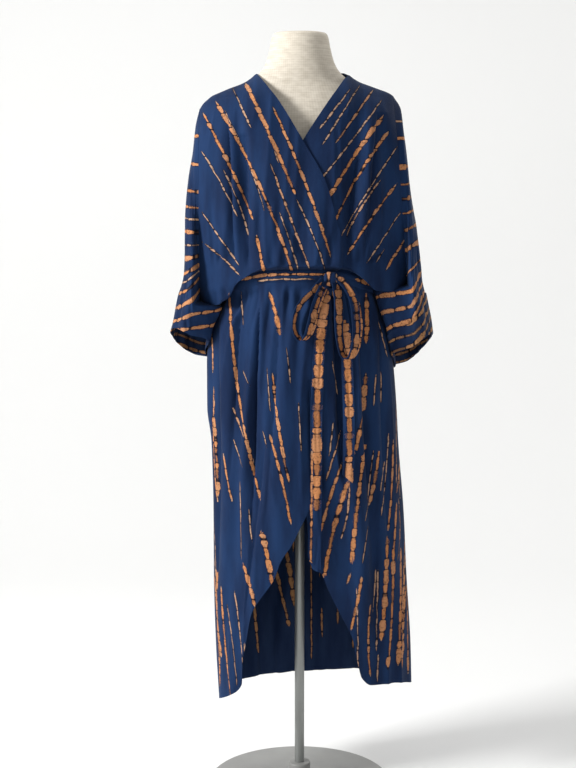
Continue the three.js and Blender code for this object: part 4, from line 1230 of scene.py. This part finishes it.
# %% Sleeves
SLEEVE_ROWS = "outer inner start end half bead"
RIGHT_SLEEVE_ROWS = table(
    SLEEVE_ROWS,
    (1289, 1284, -60, 150, 3.9, 22), (1237, 1232, -40, 150, 3.2, 21), (1187, 1180, -70, 150, 3.9, 22),
    (1157, 1152, -30, 150, 2.4, 18), (1135, 1130, -20, 150, 1.5, 15), (1110, 1108, -70, 150, 4.4, 22),
    (1084, 1086, -20, 150, 1.5, 15), (1058, 1066, -60, 150, 4.2, 22), (1028, 1050, -40, 150, 4.0, 22),
    (990, 1026, -60, 150, 3.0, 18), (962, 1000, -40, 140, 3.6, 20), (1010, 1040, -20, 120, 1.4, 15),
    (936, 968, -50, 150, 2.8, 18), (918, 936, -40, 150, 3.4, 20), (1262, 1258, -150, -80, 3.6, 22),
    (1205, 1198, -160, -90, 4.0, 22), (1146, 1140, -150, -60, 3.4, 20),
    (1090, 1082, -160, -80, 4.2, 22), (1030, 1018, -150, -60, 3.2, 20),
    (985, 965, -160, -30, 3.8, 20), (962, 934, -160, -40, 3.4, 18), (942, 908, -160, -20, 3.8, 18),
    (926, 892, -170, -40, 3.0, 16), (908, 872, -170, -20, 3.6, 18), (890, 856, -170, -30, 2.6, 16),
)
LEFT_SLEEVE_ROWS = table(
    SLEEVE_ROWS,
    (1317, 1310, -20, 150, 1.7, 16), (1285, 1278, -50, 150, 3.2, 20), (1233, 1226, -70, 150, 4.4, 22),
    (1201, 1194, -30, 150, 2.6, 18), (1175, 1168, -60, 150, 3.4, 20), (1150, 1140, -40, 150, 2.4, 18),
    (1123, 1108, -30, 150, 3.2, 20), (1092, 1070, -70, 150, 4.4, 22), (1060, 1024, -30, 150, 2.2, 16),
    (1036, 976, -60, 150, 4.0, 20), (1014, 944, -50, 150, 3.2, 18), (996, 912, -60, 150, 4.4, 20),
    (974, 884, -30, 150, 2.6, 18), (1256, 1252, -150, -80, 3.8, 22), (1196, 1190, -160, -90, 4.0, 22),
    (1140, 1130, -150, -60, 3.4, 20), (1080, 1070, -160, -80, 4.2, 22),
    (1020, 1006, -150, -60, 3.2, 20), (960, 920, -160, -30, 3.8, 18), (935, 890, -160, -30, 3.2, 18),
    (915, 868, -160, -30, 3.6, 18), (896, 848, -170, -20, 3.4, 18), (880, 832, -170, -30, 2.8, 16),
)
CUFF_ROWS = table(
    SLEEVE_ROWS,
    (982, 916, -60, 150, 4.2, 18), (962, 890, -40, 150, 3.2, 16), (944, 866, -60, 150, 4.4, 18),
    (924, 850, -30, 150, 3.2, 16), (950, 915, -160, -70, 4.0, 18), (920, 885, -160, -60, 3.6, 18),
)
PLAN_RADIUS = 56.0
ROLL_STEPS = 7


def sleeve_rows(grid, sleeve, rows):
    """Rows at one height all round, with the length counted round the sleeve's own middle."""
    sign = SIDE_SIGN[sleeve["side"]]
    up = (1 - np.cos(2 * math.pi * SLEEVE_SHARES)) / 2
    middle = np.abs(grid[..., 0]).mean(axis=1, keepdims=True) - 10
    turn = np.degrees(np.arctan2(-grid[..., 1], sign * grid[..., 0] - middle))
    metric = surface_metric(grid)
    made = []
    for outer, inner, start, end, half, bead in zip(*rows.values()):
        away = grid[..., 2] - mix(inner, outer, up)
        run = np.radians(turn - start) * PLAN_RADIUS
        length = math.radians(end - start) * PLAN_RADIUS
        made.append(dye_row(metric, away, run, length, half, bead, len(made)))
    return made


def grid_normals(grid):
    down_step, side_step = np.gradient(grid, axis=(0, 1))
    side_step[:, 0] = side_step[:, -1] = (grid[:, 1] - grid[:, -2]) / 2
    normal = np.cross(down_step, side_step)
    normal /= np.linalg.norm(normal, axis=-1, keepdims=True)
    outward = grid - grid.mean(axis=1, keepdims=True)
    return normal if (normal * outward).sum() > 0 else -normal


def turn_up_grid(grid):
    """The cuff rolls over at its end and lies back up outside the sleeve."""
    normals = grid_normals(grid)
    down = grid[-1] - grid[-2]
    down /= np.linalg.norm(down, axis=-1, keepdims=True)
    rows = []
    for step in range(ROLL_STEPS):
        turn = math.pi * step / ROLL_STEPS
        away = (1 - math.cos(turn)) * TURN_UP_LIFT / 2
        rows.append(grid[-1] + away * normals[-1] + math.sin(turn) * TURN_UP_LIFT / 2 * down)
    kept = SLEEVE_LEVELS >= TURN_UP_START
    outside = grid[kept] + TURN_UP_LIFT * normals[kept]
    return np.concatenate([np.array(rows), outside[::-1]])


def sleeve_sheet(name, grid, sleeve, rows, finishes):
    down = length_down(grid)
    layout = (length_along(grid), -down)
    axis = grid.mean(axis=1, keepdims=True)
    made = sleeve_rows(grid, sleeve, rows)
    return make_sheet(name, grid, made, layout, down[-1:] - down, axis, finishes, tube=True)


right_sleeve = sleeve_sheet(
    "right_sleeve_cloth", right_sleeve_grid, RIGHT_SLEEVE, RIGHT_SLEEVE_ROWS, (cloth, wrong_side)
)
left_sleeve = sleeve_sheet(
    "left_sleeve_cloth", left_sleeve_grid, LEFT_SLEEVE, LEFT_SLEEVE_ROWS, (cloth, wrong_side)
)
cuff_grid = turn_up_grid(left_sleeve_grid)
turn_up = sleeve_sheet("left_turn_up_cloth", cuff_grid, LEFT_SLEEVE, CUFF_ROWS, (wrong_side, cloth))
settle(right_sleeve, "cloth", "right_sleeve")
settle(left_sleeve, "cloth", "left_sleeve")
settle(turn_up, "cloth_wrong_side", "left_cuff_turn_up")

# %% [markdown]
# ## The belt
# The belt is a narrow tube of the same cloth, pressed flat. Tied tight, it crumples along its length
# and sinks into the gathers. The band goes once round the waist outside both fronts.

# %% Belt
BELT_WALL = 1.3
BELT_SHARES = np.linspace(0, 1, 401)
BELT_LEVELS = np.linspace(-0.5, 0.5, 17)
BELT_OUT = 1.9
BELT_CRUMPLE = 1.1
STRIP_MARKS = "across start end half bead"
BELT_ROWS = table(
    STRIP_MARKS,
    (4.0, 290, 470, 2.4, 26), (-5.0, 330, 440, 1.4, 22), (3.0, 520, 700, 4.6, 24),
    (-2.0, 60, 250, 3.6, 24), (1.0, 740, 900, 3.2, 24),
)


def crumple_lines(along, across, seed):
    """Ridges that run lengthwise and wander a little, from 0 to 1."""
    wander = 1.6 * random_hills(along / 60.0, np.zeros_like(along), seed)
    ridges = random_hills(across / 4.2 + wander, along / 70.0, seed + 1)
    return 0.5 + 0.5 * ridges


def belt_row(level):
    angle = 2 * math.pi * (BELT_SHARES - 0.5)
    face = np.where(np.cos(angle) >= 0, -1, 1)
    low = np.where(face < 0, belt_low(angle, -1), belt_low(angle, 1))
    half = skirt_half(np.sin(angle), low)
    front = read(SKIRT_SECTIONS, "height", "front", low)
    depth = np.where(face < 0, front, read(SKIRT_SECTIONS, "height", "back", low))
    across = half * np.sin(angle)
    middle = np.where(face < 0, belt_height(angle, -1), belt_height(angle, 1))
    lift = BELT_OUT + np.where(face < 0, OVERLAP_LIFT * overlap_share(across), 0.0)
    girth = MEAN_REACH * np.abs(angle)
    lift = lift + BELT_CRUMPLE * crumple_lines(girth, np.full_like(angle, level * BELT_WIDTH), 71)
    rounded = 1 - (2 * abs(level)) ** 4
    height = middle + level * BELT_WIDTH
    lift = lift * (0.6 + 0.4 * rounded)
    return push_out(across, depth * depth_share(across, half), height, half, depth, face, lift)


def strip_rows(grid, across, run, rows):
    """Rows that follow a strip; across and run are its own flat measures in millimetres."""
    metric = surface_metric(grid)
    made = []
    for place, start, end, half, bead in zip(*rows.values()):
        aside = across - place + 0 * run
        made.append(dye_row(metric, aside, run - start, end - start, half, bead, len(made)))
    return made


belt_grid = np.stack([belt_row(level) for level in BELT_LEVELS])
belt_run = length_along(belt_grid)
belt_across = (BELT_LEVELS * BELT_WIDTH)[:, None]
belt_made = strip_rows(belt_grid, belt_across, belt_run, BELT_ROWS)
belt = make_sheet(
    "belt_cloth", belt_grid, belt_made, (belt_run, belt_across), FAR_AWAY, belt_grid * (0, 0, 1),
    (cloth, cloth), wall=BELT_WALL, tube=True,
)
settle(belt, "cloth", "belt")

# %% [markdown]
# ## The bow
# Two loops and two ends come out of one tight knot, beside the middle. Each is a soft strip: its
# width turns slowly along its length and its cloth is creased lengthwise. The ends follow the skirt
# that they hang on, folds and all, because cloth lies on cloth with no air between.

# %% Bow measures
STRIP_WALL = 1.2
STRIP_WIDTH = 22.0
STRIP_COLUMNS = np.linspace(-0.5, 0.5, 15)
STRIP_CRUMPLE = 1.5
END_SLANT = 18.0
LOOP_PLACES = "x y z turn"
RIGHT_LOOP = table(
    LOOP_PLACES,
    (42, -126, 1021, 50), (24, -133, 1003, 48), (3, -139, 984, 36), (-10, -142, 958, 26),
    (-11, -144, 932, 24), (0, -146, 914, 30), (13, -146, 922, 40), (22, -144, 946, 52),
    (30, -138, 978, 56), (43, -131, 1010, 54),
)
LEFT_LOOP = table(
    LOOP_PLACES,
    (68, -126, 1018, 58), (71, -132, 990, 56), (71, -138, 950, 50), (73, -142, 912, 44),
    (80, -148, 884, 40), (93, -154, 882, 42), (103, -156, 908, 52), (105, -153, 944, 60),
    (101, -146, 980, 60), (90, -138, 1006, 56), (69.8, -129, 1029, 54),
)
RIGHT_END = table(
    "height across clear",
    (484, 28, 0.8), (570, 29, 0.8), (660, 30, 0.8), (760, 30, 0.8), (860, 33, 1), (930, 38, 1),
    (980, 43, 3), (1008, 50, 6),
)
LEFT_END = table(
    "height across clear",
    (648, 90, 2), (700, 91, 1.8), (770, 91, 1.2), (850, 88, 1.6), (920, 84, 2.8), (975, 76, 3.6),
    (1008, 66, 6.4),
)
KNOT = {"place": (57.0, -118.9, 1024.0), "half": (13.0, 8.0, 13.0)}
LOOP_MARKS = table(STRIP_MARKS, (0.0, 0, 400, 6.5, 24), (8.0, 120, 260, 2.5, 16))
RIGHT_END_MARKS = table(STRIP_MARKS, (1.0, 0, 430, 9.0, 23), (-8.0, 300, 540, 2.4, 22))
LEFT_END_MARKS = table(STRIP_MARKS, (1.0, 60, 380, 7.0, 23), (-8.0, 0, 120, 2.0, 20))
print("bow: two loops, two ends and a knot")

# %% Loops, ends and knot


def smooth_curve(points, count):
    """A curve through every point, its direction taken from the points on either side."""
    ends = np.concatenate([2 * points[:1] - points[1:2], points, 2 * points[-1:] - points[-2:-1]])
    place = np.linspace(0, len(points) - 1, count)
    piece = np.minimum(place.astype(int), len(points) - 2)
    share = (place - piece)[:, None]
    before, first, second, after = (ends[piece + step] for step in range(4))
    bend = 2 * before - 5 * first + 4 * second - after
    twist = 3 * first - before - 3 * second + after
    return first + 0.5 * share * ((second - before) + share * (bend + share * twist))


def strip_grid(points, turns, slant, seed, rows_per_point=9):
    count = rows_per_point * (len(points) - 1) + 1
    centre = smooth_curve(points, count)
    tangent = np.gradient(centre, axis=0)
    tangent /= np.linalg.norm(tangent, axis=1, keepdims=True)
    turn = np.radians(np.interp(np.linspace(0, 1, count), np.linspace(0, 1, len(turns)), turns))
    wide = np.stack([np.sin(turn), np.cos(turn), np.zeros(count)], axis=1)
    wide -= (wide * tangent).sum(1, keepdims=True) * tangent
    wide /= np.linalg.norm(wide, axis=1, keepdims=True)
    flat = np.cross(wide, tangent)
    run = np.concatenate([[0.0], np.cumsum(np.linalg.norm(np.diff(centre, axis=0), axis=1))])
    across = STRIP_COLUMNS * STRIP_WIDTH
    run_grid, across_grid = np.meshgrid(run, across, indexing="ij")
    lift = STRIP_CRUMPLE * (2 * crumple_lines(run_grid, across_grid, seed) - 1)
    end = slant * STRIP_COLUMNS * ease((run - run[-1] + 20) / 20)[:, None]
    grid = centre[:, None] + across[:, None] * wide[:, None] + lift[..., None] * flat[:, None]
    return grid + end[..., None] * tangent[:, None], across_grid, run_grid


def strip_sheet(name, node, points, turns, marks, seed, slant=0.0):
    grid, across, run = strip_grid(points, turns, slant, seed)
    made = strip_rows(grid, across, run, marks)
    axis = grid + (0, 10, 0)
    strip = make_sheet(name, grid, made, (across, run), FAR_AWAY, axis, (cloth, cloth), wall=STRIP_WALL)
    settle(strip, "cloth", node)
    return strip


def loop_points(rows):
    return np.stack([rows["x"], rows["y"], rows["z"]], axis=1)


def end_points(rows, lift):
    """Centre points of an end that lies on the skirt, the highest first."""
    points = []
    for height, across, clear in list(zip(*rows.values()))[::-1]:
        places = across + STRIP_COLUMNS * STRIP_WIDTH
        half = float(read(SKIRT_SECTIONS, "height", "left", height))
        under = skirt_row(-1, FRONT_FOLDS, lift, angle_of(places, half), np.full_like(places, height))
        points.append((across, under[:, 1].min() - THIN_WALL - STRIP_CRUMPLE - clear, height))
    return np.array(points)


strip_sheet(
    "right_loop_cloth", "right_bow_loop", loop_points(RIGHT_LOOP), RIGHT_LOOP["turn"],
    LOOP_MARKS, 81,
)
strip_sheet(
    "left_loop_cloth", "left_bow_loop", loop_points(LEFT_LOOP), LEFT_LOOP["turn"],
    LOOP_MARKS, 83,
)
FLAT_ON = np.full(2, 90.0)
right_end_points = end_points(RIGHT_END, OVERLAP_LIFT)
left_end_points = end_points(LEFT_END, 0.0)
strip_sheet("right_end_cloth", "right_belt_end", right_end_points, FLAT_ON, RIGHT_END_MARKS, 85, END_SLANT)
strip_sheet("left_end_cloth", "left_belt_end", left_end_points, FLAT_ON, LEFT_END_MARKS, 87, END_SLANT)

# %% [markdown]
# The knot is the belt wound once over itself and pulled tight. A ball squared off towards a block
# gives its mass, and creases that run over it from top to bottom show the winding.

# %% Knot
KNOT_SQUARE = 0.7
KNOT_CREASE = 1.1


def knot_grid():
    turn = np.linspace(0, 2 * math.pi, 73)
    level = np.linspace(0.02, math.pi - 0.02, 37)
    level_grid, turn_grid = np.meshgrid(level, turn, indexing="ij")
    ring = np.sin(level_grid)
    ball = (np.cos(level_grid), ring * np.cos(turn_grid), ring * np.sin(turn_grid))
    square = [np.sign(side) * np.abs(side) ** KNOT_SQUARE for side in ball]
    creases = random_hills(4.5 * level_grid + 0.5 * np.sin(turn_grid), turn_grid / 2.1, 91)
    swell = 1 + 0.08 * KNOT_CREASE * creases * np.sin(level_grid)
    sides = zip(KNOT["place"], KNOT["half"], square)
    grid = np.stack([middle + half * side * swell for middle, half, side in sides], axis=-1)
    return grid, level_grid * 10.0, turn_grid * 12.0


knot_points, knot_across, knot_run = knot_grid()
knot_marks = table(STRIP_MARKS, (18.0, -10, 90, 2.6, 20), (8.0, -10, 90, 1.2, 16))
knot_made = strip_rows(knot_points, knot_across, knot_run, knot_marks)
knot = make_sheet(
    "knot_cloth", knot_points, knot_made, (knot_across, knot_run), FAR_AWAY, np.array(KNOT["place"]),
    (cloth, cloth), tube=True,
)
settle(knot, "cloth", "belt_knot")

# %% [markdown]
# ## The dress form and its stand
# The form is a padded torso covered in cream linen canvas, cut off at the arms, with a short neck. It
# stands on a satin grey tube in a round steel plate. Only the neck and the tube show past the jacket.

# %% Canvas and metal finishes
CANVAS_CREAM = (0.78, 0.72, 0.62)
CANVAS_SHADE = (0.52, 0.46, 0.37)
METAL_GREY = (0.30, 0.31, 0.30)
ENAMEL_GREY = (0.26, 0.26, 0.25)
THREADS_PER_METRE = 230.0
FORM_RADIUS = 0.06


def make_canvas():
    material, tree, shader = new_finish("cream_canvas", 0.85)
    x, y, z = split(object_place(tree))
    turns = 2 * math.pi * THREADS_PER_METRE
    warp = calc("SINE", calc("ARCTAN2", x, y) * FORM_RADIUS * turns)
    weft = calc("SINE", z * turns)
    slub = noise(join(x * 60.0, y, z * 150.0), 1.0)
    weave = (warp + weft) * 0.07
    tone = fade(weave + slub, -0.1, 1.1)
    plug(blend_colours(tone, CANVAS_SHADE, CANVAS_CREAM), shader.inputs["Base Color"])
    shader.inputs["Specular IOR Level"].default_value = 0.2
    relief(shader, weave, 0.0004, 0.25)
    return material


def make_metal(name, colour, roughness, metallic):
    material, tree, shader = new_finish(name, roughness, metallic)
    patch = noise(object_place(tree), 14.0, 4.0)
    plug(fade(patch, 0.3, 0.7, roughness * 0.85, roughness * 1.15), shader.inputs["Roughness"])
    shader.inputs["Base Color"].default_value = (*colour, 1.0)
    return material


canvas = make_canvas()
tube_metal = make_metal("satin_grey_tube", METAL_GREY, 0.42, 0.6)
base_enamel = make_metal("satin_grey_enamel", ENAMEL_GREY, 0.4, 0.0)

# %% Dress form
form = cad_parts["dress_form"].copy()
form.data = form.data.copy()
form.name = "canvas_form"
bpy.context.collection.objects.link(form)
weld(form)
bpy.ops.object.mode_set(mode="EDIT")
bpy.ops.mesh.select_all(action="SELECT")
bpy.ops.mesh.tris_convert_to_quads()
bpy.ops.object.mode_set(mode="OBJECT")
bpy.ops.object.modifier_add(type="SUBSURF")
form.modifiers[-1].levels = 1
form.modifiers[-1].render_levels = 1
bpy.ops.object.modifier_apply(modifier=form.modifiers[-1].name)
smooth(form)
form.data.materials.clear()
form.data.materials.append(canvas)
settle(form, "linen_canvas", "dress_form")

# %% Pole and base
POLE_RADIUS = 9.5
POLE_TOP = 761.7
HUB_RADIUS = 22.0
HUB_TOP = 46.0
PLATE_RADIUS = 180.0
PLATE_TOP = 10.0


def add_disc(name, radius, low, high, rounding, finish):
    bpy.ops.mesh.primitive_cylinder_add(
        vertices=96, radius=radius * MM, depth=(high - low) * MM, location=(0, 0, (low + high) / 2 * MM)
    )
    disc = bpy.context.active_object
    disc.name = name
    bpy.ops.object.transform_apply(location=True, rotation=True, scale=True)
    bpy.ops.object.modifier_add(type="BEVEL")
    disc.modifiers[-1].width = rounding * MM
    disc.modifiers[-1].segments = 4
    bpy.ops.object.modifier_apply(modifier=disc.modifiers[-1].name)
    smooth(disc)
    disc.data.materials.append(finish)
    return disc


pole = add_disc("grey_pole", POLE_RADIUS, HUB_TOP, POLE_TOP, 0.6, tube_metal)
hub = add_disc("base_hub", HUB_RADIUS, PLATE_TOP - 1, HUB_TOP, 3.0, base_enamel)
plate = add_disc("base_plate_disc", PLATE_RADIUS, 0, PLATE_TOP, 3.5, base_enamel)
settle(pole, "pole_metal", "pole")
settle(plate, "base_metal", "base_plate")
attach(hub, "root")

# %% [markdown]
# ## Floor and backdrop
# A pale sheet of paper on the floor that curves up behind, as in a product studio.

# %% Stage
STAGE_COLOUR = (0.90, 0.90, 0.89)
STAGE_HALF = 6.0
CURVE_START = 1.6
CURVE_RADIUS = 1.2
WALL_TOP = 5.0


def clear_back(tree, shader):
    """Seen from behind the paper is clear, so the jacket's back can be looked at."""
    facing = tree.nodes.new("ShaderNodeNewGeometry")
    clear = tree.nodes.new("ShaderNodeBsdfTransparent")
    either = tree.nodes.new("ShaderNodeMixShader")
    output = next(node for node in tree.nodes if node.type == "OUTPUT_MATERIAL")
    tree.links.new(facing.outputs["Backfacing"], either.inputs[0])
    tree.links.new(shader.outputs["BSDF"], either.inputs[1])
    tree.links.new(clear.outputs["BSDF"], either.inputs[2])
    tree.links.new(either.outputs["Shader"], output.inputs["Surface"])


def make_backdrop():
    """A floor that turns up into a wall along a quarter circle."""
    profile = [(-STAGE_HALF, 0.0), (CURVE_START, 0.0)]
    for step in range(1, 13):
        turn = math.pi / 2 * step / 12
        profile.append((CURVE_START + CURVE_RADIUS * math.sin(turn), CURVE_RADIUS * (1 - math.cos(turn))))
    profile.append((CURVE_START + CURVE_RADIUS, WALL_TOP))
    corners = [(side, y, z) for y, z in profile for side in (-STAGE_HALF, STAGE_HALF)]
    faces = [(2 * i, 2 * i + 1, 2 * i + 3, 2 * i + 2) for i in range(len(profile) - 1)]
    mesh = bpy.data.meshes.new("backdrop")
    mesh.from_pydata(corners, [], faces)
    backdrop = bpy.data.objects.new("backdrop", mesh)
    bpy.context.collection.objects.link(backdrop)
    smooth(backdrop)
    material, tree, shader = new_finish("backdrop_paper", 0.9)
    clear_back(tree, shader)
    shader.inputs["Base Color"].default_value = (*STAGE_COLOUR, 1.0)
    mesh.materials.append(material)
    return backdrop


make_backdrop()
print("floor and backdrop ready")
